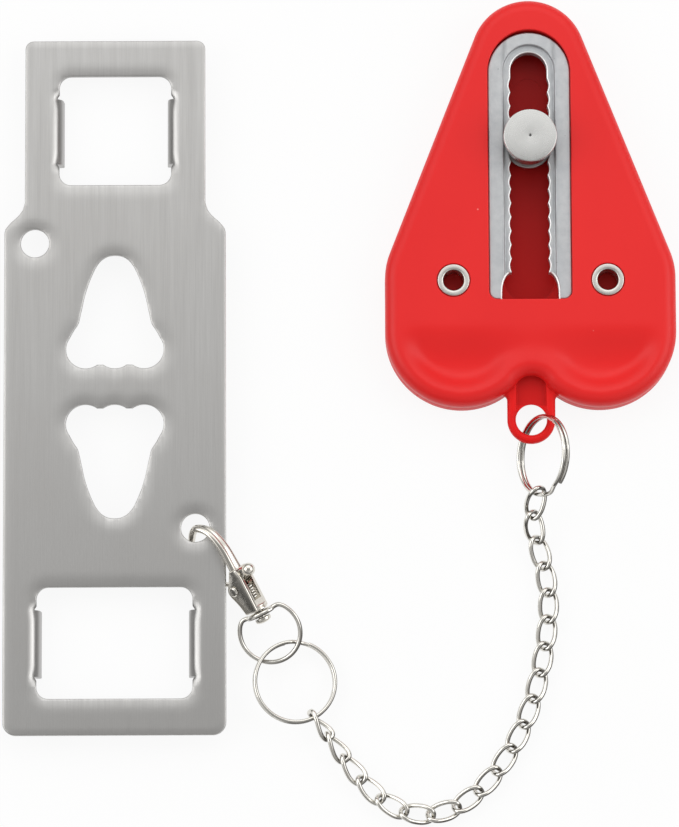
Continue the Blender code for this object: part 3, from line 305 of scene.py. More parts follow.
CHEEK_SHARES = ((0.0, 0.55), (0.24, 0.68), (0.5, 0.98), (0.6, 1.0), (0.68, 0.88), (0.8, 0.6), (1.0, 0.28))
PIVOT_X = 6.1 * MM
PIVOT_Y = 2.2 * MM
PIVOT_RADIUS = 0.7 * MM
PIVOT_HEAD_RADIUS = 1.25 * MM
PIVOT_HEAD_THICKNESS = 0.35 * MM
PIVOT_EDGE = 0.15 * MM
GATE_HALF_WIDTH = 0.8 * MM
GATE_HALF_THICKNESS = 0.5 * MM
GATE_HUB_RADIUS = 1.5 * MM
GATE_END_X = 18.0 * MM
GATE_END_Y = 9.0 * MM
GATE_BOW_SHARE = 0.16
GATE_BOW_AT_SHARE = 0.35
BALL_RADIUS = 1.5 * MM
BALL_X = 9.3 * MM
BALL_Y = -2.75 * MM
BEND_X = 21.9 * MM
BEND_Y = 5.5 * MM
BEND_SIDE = 0.5 * MM
BEND_DROP = 0.45 * MM

# Which way the painted shade on a wire faces, and where it starts
PAINTED_SHADE_WAY = Vector((0.77, -0.64, 0.0))
PAINTED_SHADE_FROM, PAINTED_SHADE_FADE = 0.25, 0.3

# Camera
CAMERA_AIM = Vector((-43.13, -61.66, 6.0)) * MM
CAMERA_DISTANCE = 1123.85 * MM
CAMERA_TILT_DEG = 7.8
CAMERA_ROLL_DEG = 0.25
CAMERA_LENS = 217.65

FLOOR_LEVEL = -0.35 * MM
FLOOR_HALF_SIZE = 3.0

# Where shade is painted on the plastic behind
SHADE_HALF_WIDTH = 6.4 * MM
SHADE_LOW_Y, SHADE_HIGH_Y = -43.2 * MM, 24.2 * MM
SHADE_FROM_Y, SHADE_TO_Y = -36 * MM, 20 * MM
EYELET_SHADE_RADIUS = 4.2 * MM
WEB_SHADE_LOW_Y, WEB_SHADE_HIGH_Y = -60.2 * MM, -53.5 * MM

# Light: the world's brightness by height, the way it is darker, and the lamps with their places and aims
SKY_STOPS = ((0.0, 0.06), (0.18, 0.14), (0.36, 0.62), (0.55, 0.86), (0.75, 0.6), (0.92, 0.34), (1.0, 0.26))
DARK_WAY = (-0.3, -0.88, 0.36)
SOFTBOXES = (("top_softbox", (-0.05, 0.27, 0.5), (-0.05, 0.0, 0), 0.6, 0.5, 0.72),
             ("left_softbox", (-0.6, -0.05, 0.42), (-0.1, -0.06, 0), 0.5, 0.5, 1.4),
             ("right_softbox", (0.52, -0.05, 0.42), (0.0, -0.06, 0), 0.5, 0.5, 1.4))


# Plain outlines and paths

def arc(centre, radius, start_deg, end_deg, steps):
    """Points along an arc, both ends included."""
    points = []
    for step in range(steps + 1):
        angle = math.radians(start_deg + (end_deg - start_deg) * step / steps)
        points.append((centre[0] + radius * math.cos(angle), centre[1] + radius * math.sin(angle)))
    return points


def circle(centre, radius, steps):
    """Points of a full circle, the first not repeated."""
    return arc(centre, radius, 0, 360, steps)[:-1]


def mirrored(points):
    """The same points on the other side of the Y axis, in reverse order."""
    return [(-x, y) for x, y in reversed(points)]


def stadium(radius, low_y, high_y, steps):
    """Outline of a slot with round ends between two centres on the Y axis."""
    return arc((0, high_y), radius, 0, 180, steps) + arc((0, low_y), radius, 180, 360, steps)


def rounded_box(centre, half_width, half_height, radius, steps):
    """Outline of a rectangle with round corners."""
    points = []
    for index, (side, rise) in enumerate(((1, 1), (-1, 1), (-1, -1), (1, -1))):
        corner = (centre[0] + side * (half_width - radius), centre[1] + rise * (half_height - radius))
        points += arc(corner, radius, 90 * index, 90 * index + 90, steps)
    return points


def polar(radius, angle_deg):
    """A vector in the XY plane by its length and heading."""
    angle = math.radians(angle_deg)
    return Vector((radius * math.cos(angle), radius * math.sin(angle), 0))


def turn(angle_deg, axis):
    """Rotation matrix about one axis."""
    return Matrix.Rotation(math.radians(angle_deg), 4, axis)


def rounded(share):
    """A share between 0 and 1 eased at both ends."""
    share = min(max(share, 0.0), 1.0)
    return share * share * (3 - 2 * share)


def smooth_path(points, steps):
    """Points along a smooth curve through the given ones, with so many steps to each stretch."""
    ends = [points[0], *points, points[-1]]
    path = []
    for before, start, end, after in zip(ends, ends[1:], ends[2:], ends[3:]):
        for step in range(steps):
            share = step / steps
            path.append(tuple(
                0.5 * (2 * b + (c - a) * share + (2 * a - 5 * b + 4 * c - d) * share ** 2
                       + (3 * b - a - 3 * c + d) * share ** 3)
                for a, b, c, d in zip(before, start, end, after)))
    path.append(tuple(points[-1]))
    return path


def softened(points, radius, closed=False, steps=4):
    """A profile with its corners rounded off."""
    result = []
    for index, point in enumerate(points):
        if not closed and index in (0, len(points) - 1):
            result.append(point)
            continue
        corner = Vector(point)
        back = Vector(points[index - 1]) - corner
        ahead = Vector(points[(index + 1) % len(points)]) - corner
        cut = min(radius, back.length * 0.48, ahead.length * 0.48)
        start, end = corner + back.normalized() * cut, corner + ahead.normalized() * cut
        for step in range(steps + 1):
            share = step / steps
            spot = start * (1 - share) ** 2 + corner * 2 * share * (1 - share) + end * share ** 2
            result.append(tuple(spot))
    return result


def wall(low, high, low_lip=0.0, high_lip=0.0, steps=6):
    """Stations of a wall, as spare room and height. A lip below zero rounds the edge, above zero flares it."""
    stations = []
    for level, lip, order in ((low, low_lip, range(steps, -1, -1)), (high, high_lip, range(steps + 1))):
        for step in order if lip else (0,):
            angle = math.pi / 2 * step / steps
            inward = abs(lip) * (1 - math.sin(angle)) if lip else 0.0
            stations.append((lip * (1 - math.cos(angle)), level + (inward if level == low else -inward)))
    return stations


# Meshes

def loft(rings):
    """Closed bmesh through rings of as many points each, from the first to the last."""
    shape = bmesh.new()
    face = shape.faces.new([shape.verts.new(point) for point in rings[0]])
    for ring in rings[1:]:
        face = bmesh.ops.extrude_discrete_faces(shape, faces=[face])["faces"][0]
        for vert, point in zip(face.verts, ring):
            vert.co = point
    bmesh.ops.holes_fill(shape, edges=[edge for edge in shape.edges if edge.is_boundary])
    bmesh.ops.recalc_face_normals(shape, faces=shape.faces)
    return shape


def stack(outline, stations, over_low=False, over_high=False):
    """Closed bmesh that climbs an outline through its stations, with an overrun for a cutter."""
    stations = list(stations)
    if over_low:
        stations.insert(0, (stations[0][0], stations[0][1] - OVERRUN))
    if over_high:
        stations.append((stations[-1][0], stations[-1][1] + OVERRUN))
    return loft([[(x, y, height) for x, y in outline(spare)] for spare, height in stations])


def spun(profile, closed=False, steps=72):
    """Closed bmesh turned about Z from a profile of radii and heights."""
    shape = bmesh.new()
    verts = [shape.verts.new((radius, 0, height)) for radius, height in profile]
    edges = [shape.edges.new(pair) for pair in zip(verts, verts[1:])]
    if closed:
        edges.append(shape.edges.new((verts[-1], verts[0])))
    bmesh.ops.spin(shape, geom=verts + edges, cent=(0, 0, 0), axis=(0, 0, 1), angle=2 * math.pi, steps=steps,
                   use_merge=True)
    bmesh.ops.remove_doubles(shape, verts=shape.verts, dist=WELD)
    bmesh.ops.recalc_face_normals(shape, faces=shape.faces)
    return shape


def placed(shape, place):
    """Move a bmesh to its place."""
    bmesh.ops.transform(shape, matrix=place, verts=shape.verts)
    return shape


def linked(name, data):
    """A new object in the scene."""
    thing = bpy.data.objects.new(name, data)
    bpy.context.scene.collection.objects.link(thing)
    return thing


def evaluated(thing):
    """The finished shape of an object, as a bmesh."""
    bpy.context.view_layer.update()
    mesh = bpy.data.meshes.new_from_object(thing.evaluated_get(bpy.context.evaluated_depsgraph_get()))
    shape = bmesh.new()
    shape.from_mesh(mesh)
    bmesh.ops.remove_doubles(shape, verts=shape.verts, dist=WELD)
    bpy.data.meshes.remove(mesh)
    return shape


def from_lines(lines, closed, **settings):
    """Closed bmesh of a curve with its settings, along lines of straight stretches."""
    curve = bpy.data.curves.new("lines", "CURVE")
    for name, value in settings.items():
        setattr(curve, name, value)
    for line in lines:
        spline = curve.splines.new("POLY")
        spline.points.add(len(line) - 1)
        for spot, point in zip(spline.points, line):
            spot.co = (*point, 1)
        spline.use_cyclic_u = closed
    guide = linked("guide", curve)
    shape = evaluated(guide)
    bmesh.ops.recalc_face_normals(shape, faces=shape.faces)
    bpy.data.objects.remove(guide)
    bpy.data.curves.remove(curve)
    return shape


def wire(points, radius, closed=False):
    """Round wire along a line of points, as a closed bmesh."""
    return from_lines([points], closed, dimensions="3D", bevel_depth=radius, bevel_resolution=4,
                      use_fill_caps=True)


def sheet_shape(loops, low, high, edge):
    """Closed bmesh of a flat sheet with holes, its edges rounded a little."""
    flat = [[(x, y, 0) for x, y in loop] for loop in loops]
    shape = from_lines(flat, True, dimensions="2D", fill_mode="BOTH", extrude=(high - low) / 2 - edge,
                       bevel_depth=edge, bevel_resolution=2, offset=-edge)
    return placed(shape, Matrix.Translation((0, 0, (low + high) / 2)))


def cut_in_grid(shape, axis, low, high, spacing, keep=None):
    """Cut a shape, or the faces that are asked for, with evenly spaced planes across one axis."""
    count = max(1, round((high - low) / spacing))
    for index in range(count + 1):
        normal = Vector([float(axis == each) for each in range(3)])
        spot = normal * (low + (high - low) * index / count)
        faces = [face for face in shape.faces if keep(face)] if keep else shape.faces[:]
        verts = {vert for face in faces for vert in face.verts}
        edges = {edge for face in faces for edge in face.edges}
        bmesh.ops.bisect_plane(shape, geom=[*verts, *edges, *faces], dist=WELD / 10, plane_co=spot,
                               plane_no=normal)


def soften_rims(shape, radius, segments, from_deg=40):
    """Round the sharp edges of a shape."""
    rims = [edge for edge in shape.edges
            if len(edge.link_faces) == 2 and edge.calc_face_angle() > math.radians(from_deg)]
    bmesh.ops.bevel(shape, geom=rims, offset=radius, segments=segments, profile=0.5, affect="EDGES",
                    material=-1)
    return shape


def plain_object(name, shape):
    """A mesh object from a bmesh."""
    mesh = bpy.data.meshes.new(name)
    shape.to_mesh(mesh)
    shape.free()
    return linked(name, mesh)


def drum(centre, radius, stations, over_low=False, over_high=False, steps=40):
    """Round closed bmesh about a centre; its stations give spare radius and height."""
    return stack(lambda spare: circle(centre, radius + spare, steps), stations, over_low, over_high)


def rod(radius, half_length):
    """Round closed bmesh along Z, to cut a bore with."""
    profile = [(0, half_length), (radius, half_length), (radius, -half_length), (0, -half_length)]
    return spun(profile, False, 32)


def carved(shape, cuts=(), joins=()):
    """A bmesh after Booleans: shapes joined to it, then shapes cut out of it."""
    thing = plain_object("work", shape)
    tools = []
    for operation, shapes in (("UNION", joins), ("DIFFERENCE", cuts)):
        for other in shapes:
            modifier = thing.modifiers.new("boolean", "BOOLEAN")
            modifier.operation, modifier.solver = operation, "EXACT"
            modifier.object = plain_object("tool", other)
            tools.append(modifier.object)
    result = evaluated(thing)
    for tool in [thing, *tools]:
        mesh = tool.data
        bpy.data.objects.remove(tool)
        bpy.data.meshes.remove(mesh)
    return result


def mark_painted_shade(shape):
    """Store how far each point of a wire lies on its lower right side, where shade is painted on the plating.
    """
    shape.normal_update()
    layer = shape.verts.layers.float.new("painted_shade")
    for vert in shape.verts:
        # Painted shade: the share grows as the wire's normal turns towards the lower right
        vert[layer] = rounded((vert.normal.dot(PAINTED_SHADE_WAY) - PAINTED_SHADE_FROM) / PAINTED_SHADE_FADE)
    return shape


def piece(name, shape, body, node, finish, even=False):
    """Put a finished shape in the scene, with its finish, the body it rides on and the node it stands for."""
    thing = plain_object(name, shape)
    thing.data.shade_smooth()
    thing.data.set_sharp_from_angle(angle=math.radians(SHARP_DEG))
    thing.data.materials.append(finish)
    if even:
        thing.modifiers.new("even_shading", "WEIGHTED_NORMAL").keep_sharp = True
    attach(thing, body)
    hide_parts(node)


# Materials

class Nodes:
    """The nodes of a material or of the world, with short calls for those used here."""

    def __init__(self, owner):
        owner.use_nodes = True
        self.tree = owner.node_tree

    def feed(self, node, inputs):
        """Connect other nodes' outputs to a node's sockets, or set plain values."""
        for name, value in inputs.items():
            if isinstance(value, bpy.types.NodeSocket):
                self.tree.links.new(value, node.inputs[name])
            else:
                node.inputs[name].default_value = value

    def put(self, kind, inputs=None, **settings):
        """Add a node, set its options and feed its sockets."""
        node = self.tree.nodes.new("ShaderNode" + kind)
        for name, value in settings.items():
            setattr(node, name, value)
        self.feed(node, inputs or {})
        return node

    def finish(self, **sockets):
        """Feed the surface shader."""
        named = {name.replace("_", " "): value for name, value in sockets.items()}
        self.feed(self.tree.nodes["Principled BSDF"], named)

    def end(self, kind, shader):
        """Lead a shader to the tree's output."""
        self.tree.links.new(shader, self.put("Output" + kind).inputs["Surface"])

    def stretched(self, place, scale):
        """Coordinates scaled along each axis."""
        return self.put("Mapping", {"Vector": place, "Scale": scale}).outputs["Vector"]

    def axes(self, place):
        """The three numbers of a place."""
        return self.put("SeparateXYZ", {"Vector": place}).outputs

    def grain(self, place, scale, detail=4.0, roughness=0.55):
        """Noise between 0 and 1."""
        inputs = {"Vector": place, "Scale": scale, "Detail": detail, "Roughness": roughness}
        return self.put("TexNoise", inputs).outputs["Fac"]

    def specks(self, place, scale, near, far):
        """Small dots about scattered points."""
        away = self.put("TexVoronoi", {"Vector": place, "Scale": scale}).outputs["Distance"]
        return self.spread(away, near, far, 1.0, 0.0)

    def spread(self, value, low, high, to_low=0.0, to_high=1.0):
        """Map a value from one range to another, held at its ends."""
        inputs = {"Value": value, "From Min": low, "From Max": high, "To Min": to_low, "To Max": to_high}
        return self.put("MapRange", inputs).outputs["Result"]

    def above(self, value, edge, fade=0.2 * MM):
        """0 up to an edge, then 1."""
        return self.spread(value, edge, edge + fade)

    def below(self, value, edge, fade=0.2 * MM):
        """1 up to an edge, then 0."""
        return self.spread(value, edge, edge + fade, 1.0, 0.0)

    def combine(self, operation, first, second):
        """Math on two values."""
        return self.put("Math", {0: first, 1: second}, operation=operation).outputs[0]

    def times(self, first, *others):
        """Product of values."""
        for other in others:
            first = self.combine("MULTIPLY", first, other)
        return first

    def blend(self, share, first, second):
        """Mix of two colours."""
        first, second = ((*colour, 1.0) if isinstance(colour, tuple) else colour
                         for colour in (first, second))
        return self.put("Mix", {0: share, 6: first, 7: second}, data_type="RGBA").outputs[2]

    def relief(self, height, strength, distance):
        """Bump from a height."""
        inputs = {"Height": height, "Strength": strength, "Distance": distance}
        return self.put("Bump", inputs).outputs["Normal"]


def new_material(name):
    """A new material, its nodes and its object coordinates."""
    material = bpy.data.materials.new(name)
    nodes = Nodes(material)
    return material, nodes, nodes.put("TexCoord").outputs["Object"]


def brushed_steel():
    """Stainless sheet brushed along its length, with painted shade on its cut edges and under its bends."""
    material, nodes, place = new_material("brushed_steel")
    fine = nodes.grain(nodes.stretched(place, (1.0, 0.012, 0.2)), 4200.0, 6.0, 0.7)
    wide = nodes.grain(nodes.stretched(place, (1.0, 0.05, 0.3)), 700.0, 3.0)
    cloud = nodes.grain(place, 45.0, 3.0)
    streaks = nodes.combine("ADD", nodes.times(fine, 0.6), nodes.times(wide, 0.4))
    colour = nodes.blend(nodes.spread(streaks, 0.37, 0.63), (0.487, 0.482, 0.473), (0.575, 0.57, 0.56))
    colour = nodes.blend(nodes.spread(cloud, 0.35, 0.75, 0.0, 0.35), colour, (0.49, 0.476, 0.462))
    # Painted shade: darker low on the cut edges and down the claws, most at the underside of the bends
    level = nodes.axes(place)["Z"]
    claw = nodes.spread(level, CLAW_DEPTH - 0.7 * MM, CLAW_DEPTH, 0.3, 1.0)
    edge = nodes.times(nodes.below(level, CLAW_DEPTH + 0.7 * MM, 0.3 * MM), claw, 0.75)
    nodes.finish(Base_Color=nodes.blend(edge, colour, (0.2, 0.195, 0.19)), Metallic=1.0,
                 Roughness=nodes.spread(streaks, 0.3, 0.7, 0.44, 0.32),
                 Normal=nodes.relief(streaks, 0.12, 0.02 * MM))
    return material


def red_plastic(name, specular=0.35, shade_inside=False):
    """Moulded plastic with a faint skin and a few pale specks; inside the body it has painted shade."""
    material, nodes, place = new_material(name)
    skin = nodes.grain(place, 2600.0, 4.0, 0.6)
    swirl = nodes.grain(nodes.stretched(place, (1.0, 0.55, 1.0)), 38.0, 4.0)
    few = nodes.spread(nodes.grain(place, 130.0, 1.0), 0.7, 0.74)
    colour = nodes.blend(nodes.spread(swirl, 0.3, 0.7), (0.76, 0.012, 0.012), (0.8, 0.015, 0.014))
    specks = nodes.times(nodes.specks(place, 240.0, 0.03, 0.06), few, 0.6)
    colour = nodes.blend(specks, colour, (0.95, 0.5, 0.45))
    if shade_inside:
        # Painted shade inside the body: in the cavity and round the eyelet pockets, stronger towards the top
        side, along = nodes.axes(place)["X"], nodes.axes(place)["Y"]
        across = nodes.combine("ABSOLUTE", side, 0.0)
        cavity = nodes.times(nodes.below(across, SHADE_HALF_WIDTH), nodes.above(along, SHADE_LOW_Y),
                             nodes.below(along, SHADE_HIGH_Y))
        folded = nodes.put("CombineXYZ", {"X": across, "Y": along}).outputs["Vector"]
        eyelet_place = {0: folded, 1: (EYELET_X, EYELET_Y, 0.0)}
        away = nodes.put("VectorMath", eyelet_place, operation="DISTANCE").outputs["Value"]
        inside = nodes.combine("MAXIMUM", cavity, nodes.below(away, EYELET_SHADE_RADIUS))
        depth = nodes.spread(along, SHADE_FROM_Y, SHADE_TO_Y, 0.36, 0.56)
        colour = nodes.blend(nodes.times(inside, depth), colour, (0.02, 0.002, 0.002))
        # Painted shade on the loop's recessed web
        web = nodes.times(nodes.below(across, WEB_HALF_WIDTH), nodes.above(along, WEB_SHADE_LOW_Y, 0.4 * MM),
                          nodes.below(along, WEB_SHADE_HIGH_Y, 0.5 * MM), 0.24)
        colour = nodes.blend(web, colour, (0.1, 0.004, 0.004))
    height = nodes.combine("ADD", skin, nodes.times(swirl, 3.0))
    nodes.finish(Base_Color=colour, Roughness=nodes.spread(skin, 0.3, 0.7, 0.36, 0.46),
                 Specular_IOR_Level=specular, Normal=nodes.relief(height, 0.16, 0.04 * MM))
    return material


def cast_zinc():
    """Die-cast metal: mottled and slightly blue, with pits, painted shade along the channel's step and a
    painted highlight on the slot's edge.
    """
    material, nodes, place = new_material("cast_zinc")
    mottle = nodes.grain(place, 420.0, 6.0, 0.7)
    broad = nodes.grain(nodes.stretched(place, (1.0, 0.4, 1.0)), 90.0, 4.0)
    some = nodes.spread(nodes.grain(place, 260.0, 2.0), 0.6, 0.66)
    pits = nodes.times(nodes.specks(place, 520.0, 0.03, 0.08), some)
    across, level = nodes.combine("ABSOLUTE", nodes.axes(place)["X"], 0.0), nodes.axes(place)["Z"]
    # Painted shade: darker along the step between the insert's top and its channel, broken up by streaky noise
    line = nodes.combine("ABSOLUTE", nodes.combine("SUBTRACT", across, CHANNEL_HALF_WIDTH - 0.2 * MM), 0.0)
    patchy_noise = nodes.spread(nodes.grain(nodes.stretched(place, (1.0, 0.12, 1.0)), 900.0, 5.0, 0.7), 0.4, 0.58)
    # Painted highlight: a near-white band on the slot's edge just below the channel floor
    lip = nodes.times(nodes.below(level, CHANNEL_FLOOR - 0.05 * MM, 0.03 * MM),
                      nodes.above(level, CHANNEL_FLOOR - 0.5 * MM))
    colour = nodes.blend(nodes.spread(mottle, 0.3, 0.7), (0.47, 0.485, 0.5), (0.62, 0.63, 0.635))
    colour = nodes.blend(nodes.spread(broad, 0.35, 0.7, 0.0, 0.4), colour, (0.5, 0.52, 0.55))
    colour = nodes.blend(nodes.times(nodes.below(line, 0.0, 0.9 * MM), patchy_noise, 0.7), colour, (0.27, 0.28, 0.29))
    colour = nodes.blend(pits, colour, (0.16, 0.16, 0.17))
    height = nodes.combine("SUBTRACT", mottle, nodes.times(pits, 1.5))
    nodes.finish(Base_Color=nodes.blend(lip, colour, (0.97, 0.97, 0.96)), Metallic=0.85,
                 Roughness=nodes.spread(mottle, 0.3, 0.7, 0.42, 0.56),
                 Normal=nodes.relief(height, 0.3, 0.04 * MM))
    return material


def turned_steel(name, base=(0.66, 0.66, 0.645), roughness=0.27, centre=(0.0, 0.0)):
    """Turned metal: fine rings about an upright axis, with a dark dot where the axis meets it."""
    material, nodes, place = new_material(name)
    shift = {"Vector": place, "Location": (-centre[0], -centre[1], 0.0)}
    centred = nodes.put("Mapping", shift).outputs["Vector"]
    flat = nodes.stretched(centred, (1.0, 1.0, 0.0))
    radius = nodes.put("VectorMath", {0: flat}, operation="LENGTH").outputs["Value"]
    around = nodes.put("CombineXYZ", {"X": radius, "Z": nodes.axes(centred)["Z"]}).outputs["Vector"]
    rings = nodes.grain(around, 9000.0, 3.0, 0.7)
    colour = nodes.blend(nodes.spread(rings, 0.3, 0.7), tuple(0.86 * part for part in base), base)
    colour = nodes.blend(nodes.below(radius, 0.22 * MM, 0.18 * MM), colour, (0.1, 0.1, 0.1))
    soft = nodes.spread(nodes.grain(centred, 500.0, 3.0), 0.3, 0.7, roughness - 0.04, roughness + 0.08)
    nodes.finish(Base_Color=colour, Metallic=1.0, Roughness=soft, Normal=nodes.relief(rings, 0.09, 0.02 * MM))
    return material


def nickel(name, base=(0.74, 0.71, 0.65), roughness=0.13, with_painted_shade=False):
    """Bright nickel plating, slightly warm, with faint ripples, rubbed spots, and painted shade on the lower
    right sides of wires.
    """
    material, nodes, place = new_material(name)
    ripple = nodes.grain(place, 900.0, 3.0)
    patchy_noise = nodes.grain(place, 2600.0, 4.0, 0.65)
    colour = nodes.blend(nodes.spread(patchy_noise, 0.35, 0.75, 0.0, 0.35), base, tuple(0.82 * part for part in base))
    if with_painted_shade:
        # Painted shade: the wire's colour goes dark where it faces the lower right
        under = nodes.put("Attribute", attribute_name="painted_shade").outputs["Fac"]
        colour = nodes.blend(nodes.times(under, 0.9), colour, (0.07, 0.063, 0.056))
    height = nodes.combine("ADD", nodes.times(ripple, 2.0), patchy_noise)
    soft = nodes.spread(patchy_noise, 0.3, 0.75, roughness - 0.03, roughness + 0.09)
    nodes.finish(Base_Color=colour, Metallic=1.0, Roughness=soft,
                 Normal=nodes.relief(height, 0.07, 0.04 * MM))
    return material


# Lock body

def body_outline(spare=0.0, notched=True):
    """Outline of the lock body: round cap, sloping sides, shoulders, two lobes and the notch between them."""
    half_width = BODY_WIDTH / 2
    lobe_x = half_width - LOBE_RADIUS
    shoulder_x = half_width - SHOULDER_RADIUS
    down = SHOULDER_CENTRE_Y - CAP_CENTRE_Y
    tangent = math.acos((CAP_RADIUS - SHOULDER_RADIUS) / math.hypot(shoulder_x, down))
    slope_deg = math.degrees(math.atan2(down, shoulder_x) + tangent)
    notch_radius = (ARCH_NOTCH_RADIUS if notched else LOOP_RADIUS + GAP) - spare
    notch_y = ARCH_NOTCH_Y if notched else LOOP_ROOT_Y
    lobe = LOBE_RADIUS + spare
    span = math.hypot(lobe_x, LOBE_CENTRE_Y - notch_y)
    along = (span ** 2 + lobe ** 2 - notch_radius ** 2) / (2 * span)
    towards_deg = math.degrees(math.atan2(notch_y - LOBE_CENTRE_Y, -lobe_x))
    end_deg = towards_deg + math.degrees(math.acos(min(along / lobe, 1)))
    half = arc((0, CAP_CENTRE_Y), CAP_RADIUS + spare, 90, slope_deg, 28)
    half += arc((shoulder_x, SHOULDER_CENTRE_Y), SHOULDER_RADIUS + spare, slope_deg, 0, 10)
    half += arc((lobe_x, LOBE_CENTRE_Y), lobe, 0, end_deg, 44)
    if not notched:
        return half + mirrored(half)[:-1]
    corner = half[-1]
    start_deg = math.degrees(math.atan2(corner[1] - notch_y, corner[0]))
    half += arc((0, notch_y), notch_radius, start_deg, 90, 14)[1:]
    return half + mirrored(half)[1:-1]


def insert_outline(spare, crown=0.0):
    """Outline of the slot insert, with room round it and more above its round top."""
    half_width = INSERT_HALF_WIDTH + spare
    radius = INSERT_CORNER_RADIUS + spare
    top_y = INSERT_TOP_Y - INSERT_HALF_WIDTH
    half = [(x, y + crown * (y - top_y) / half_width) for x, y in arc((0, top_y), half_width, 90, 0, 32)]
    half += arc((half_width - radius, INSERT_BOTTOM_Y - spare + radius), radius, 0, -90, 8)
    return half + mirrored(half)[:-1]


def slot_outline(spare=0.0):
    """Outline of the through slot: round top, waves along both sides and a wide open mouth."""
    half = arc((0, SLOT_TOP_Y - SLOT_HALF_WIDTH), SLOT_HALF_WIDTH + spare, 90, 0, 24)
    each = 10
    for index in range(each * TOOTH_COUNT + 1):
        bulge = TOOTH_DEPTH * abs(math.sin(math.pi * index / each))
        y = TEETH_END_Y + TOOTH_PITCH * (TOOTH_COUNT - index / each)
        half.append((SLOT_HALF_WIDTH + spare + bulge, y))
    for index in range(1, 11):
        angle = math.pi / 2 * index / 10
        x = SLOT_HALF_WIDTH + (MOUTH_HALF_WIDTH - SLOT_HALF_WIDTH) * math.sin(angle)
        half.append((x + spare, TEETH_END_Y - MOUTH_DROP * (1 - math.cos(angle)) + spare * math.cos(angle)))
    half.append((MOUTH_HALF_WIDTH + spare, INSERT_BOTTOM_Y - OVERRUN))
    return half + mirrored(half)[:-1]


def channel_outline(spare=0.0):
    """Outline of the shallow channel that guides the knob's collar."""
    half = arc((0, CHANNEL_TOP_Y - CHANNEL_HALF_WIDTH), CHANNEL_HALF_WIDTH + spare, 90, 0, 28)
    half.append((CHANNEL_HALF_WIDTH + spare, INSERT_BOTTOM_Y - OVERRUN))
    return half + mirrored(half)[:-1]


def ear_outline(spare=0.0):
    """Outline of the bar whose ends are the insert's two ears."""
    radius = EAR_RADIUS + spare
    return arc((EYELET_X, EYELET_Y), radius, -90, 90, 16) + arc((-EYELET_X, EYELET_Y), radius, 90, 270, 16)


def loop_outline(spare=0.0):
    """Outline of the tether loop, flared where it leaves the two lobes."""
    side = LOOP_RADIUS + LOOP_FILLET
    half = arc((0, LOOP_CENTRE_Y), LOOP_RADIUS + spare, -90, 0, 20)
    half += arc((side, LOOP_FILLET_Y), LOOP_FILLET - spare, 180, 90, 8)
    half.append((side, LOOP_ROOT_Y + LOOP_RADIUS))
    return half + mirrored(half)[:-1]


def nearest_finder(points):
    """A tree of points laid closely along closed outlines, where None breaks the line."""
    laid = []
    for start, end in zip(points, points[1:] + points[:1]):
        if start is None or end is None:
            continue
        start, end = Vector(start), Vector(end)
        count = max(1, math.ceil((end - start).length / OUTLINE_STEP))
        laid += [start.lerp(end, index / count) for index in range(count)]
    tree = kdtree.KDTree(len(laid))
    for index, point in enumerate(laid):
        tree.insert((point.x, point.y, 0.0), index)
    tree.balance()
    return tree


def press_hollows(shape):
    """Press the two finger hollows into the top face."""
    top = BODY_THICKNESS - WELD
    flat = lambda face: face.normal.z > 0.99 and face.calc_center_median().z > top
    cut_in_grid(shape, 1, LOBE_CENTRE_Y - LOBE_RADIUS, HOLLOW_FROM_Y + HOLLOW_GRID, HOLLOW_GRID, flat)
    limit = HOLLOW_FROM_Y + 1.01 * HOLLOW_GRID
    below = lambda face: flat(face) and max(vert.co.y for vert in face.verts) < limit
    cut_in_grid(shape, 0, -BODY_WIDTH / 2, BODY_WIDTH / 2, HOLLOW_GRID, below)
    edge = nearest_finder(body_outline())
    for vert in shape.verts:
        if vert.co.z < top or vert.co.y > HOLLOW_FROM_Y:
            continue
        inward = edge.find((vert.co.x, vert.co.y, 0.0))[2]
        ridge = 1 - RIDGE_SHARE * math.exp(-(vert.co.x / RIDGE_HALF_WIDTH) ** 2)
        vert.co.z -= (HOLLOW_DEPTH * ridge * rounded((HOLLOW_FROM_Y - vert.co.y) / HOLLOW_RUN)
                      * rounded((inward - HOLLOW_RIM) / HOLLOW_SLOPE))


def front_moulding():
    """Front half of the lock body."""
    shape = stack(body_outline, wall(PARTING, BODY_THICKNESS, -PARTING_LIP, -FRONT_EDGE_RADIUS, 12))
    press_hollows(shape)
    cuts = [stack(lambda spare: insert_outline(INSERT_FIT + spare, CROWN_GAP),
                  wall(PARTING, BODY_THICKNESS, 0, INSERT_SEAT_LIP, 4), True, True),
            stack(ear_outline, [(GAP, PARTING), (GAP, PARTING + EAR_THICKNESS + GAP)], True),
            drum((0, LOOP_ROOT_Y), LOOP_RADIUS + GAP, [(0, PARTING), (0, LOOP_TOP + LOOP_FIT)], True,
                 steps=48)]
    seat = EYELET_TOP - EYELET_FLANGE - GAP
    barrel, flange, lip = EYELET_BARREL_RADIUS + GAP, EYELET_FLANGE_RADIUS + FINE_GAP, EYELET_SEAT_LIP
    profile = [(0, BODY_THICKNESS + OVERRUN), (flange + lip, BODY_THICKNESS + OVERRUN),
               (flange + lip, BODY_THICKNESS), (flange + 0.3 * lip, BODY_THICKNESS - 0.3 * lip),
               (flange, BODY_THICKNESS - lip), (flange, seat), (barrel, seat), (barrel, PARTING - OVERRUN),
               (0, PARTING - OVERRUN)]
    for side in (-1, 1):
        cuts.append(placed(spun(profile, steps=48), Matrix.Translation((side * EYELET_X, EYELET_Y, 0))))
    return carved(shape, cuts)


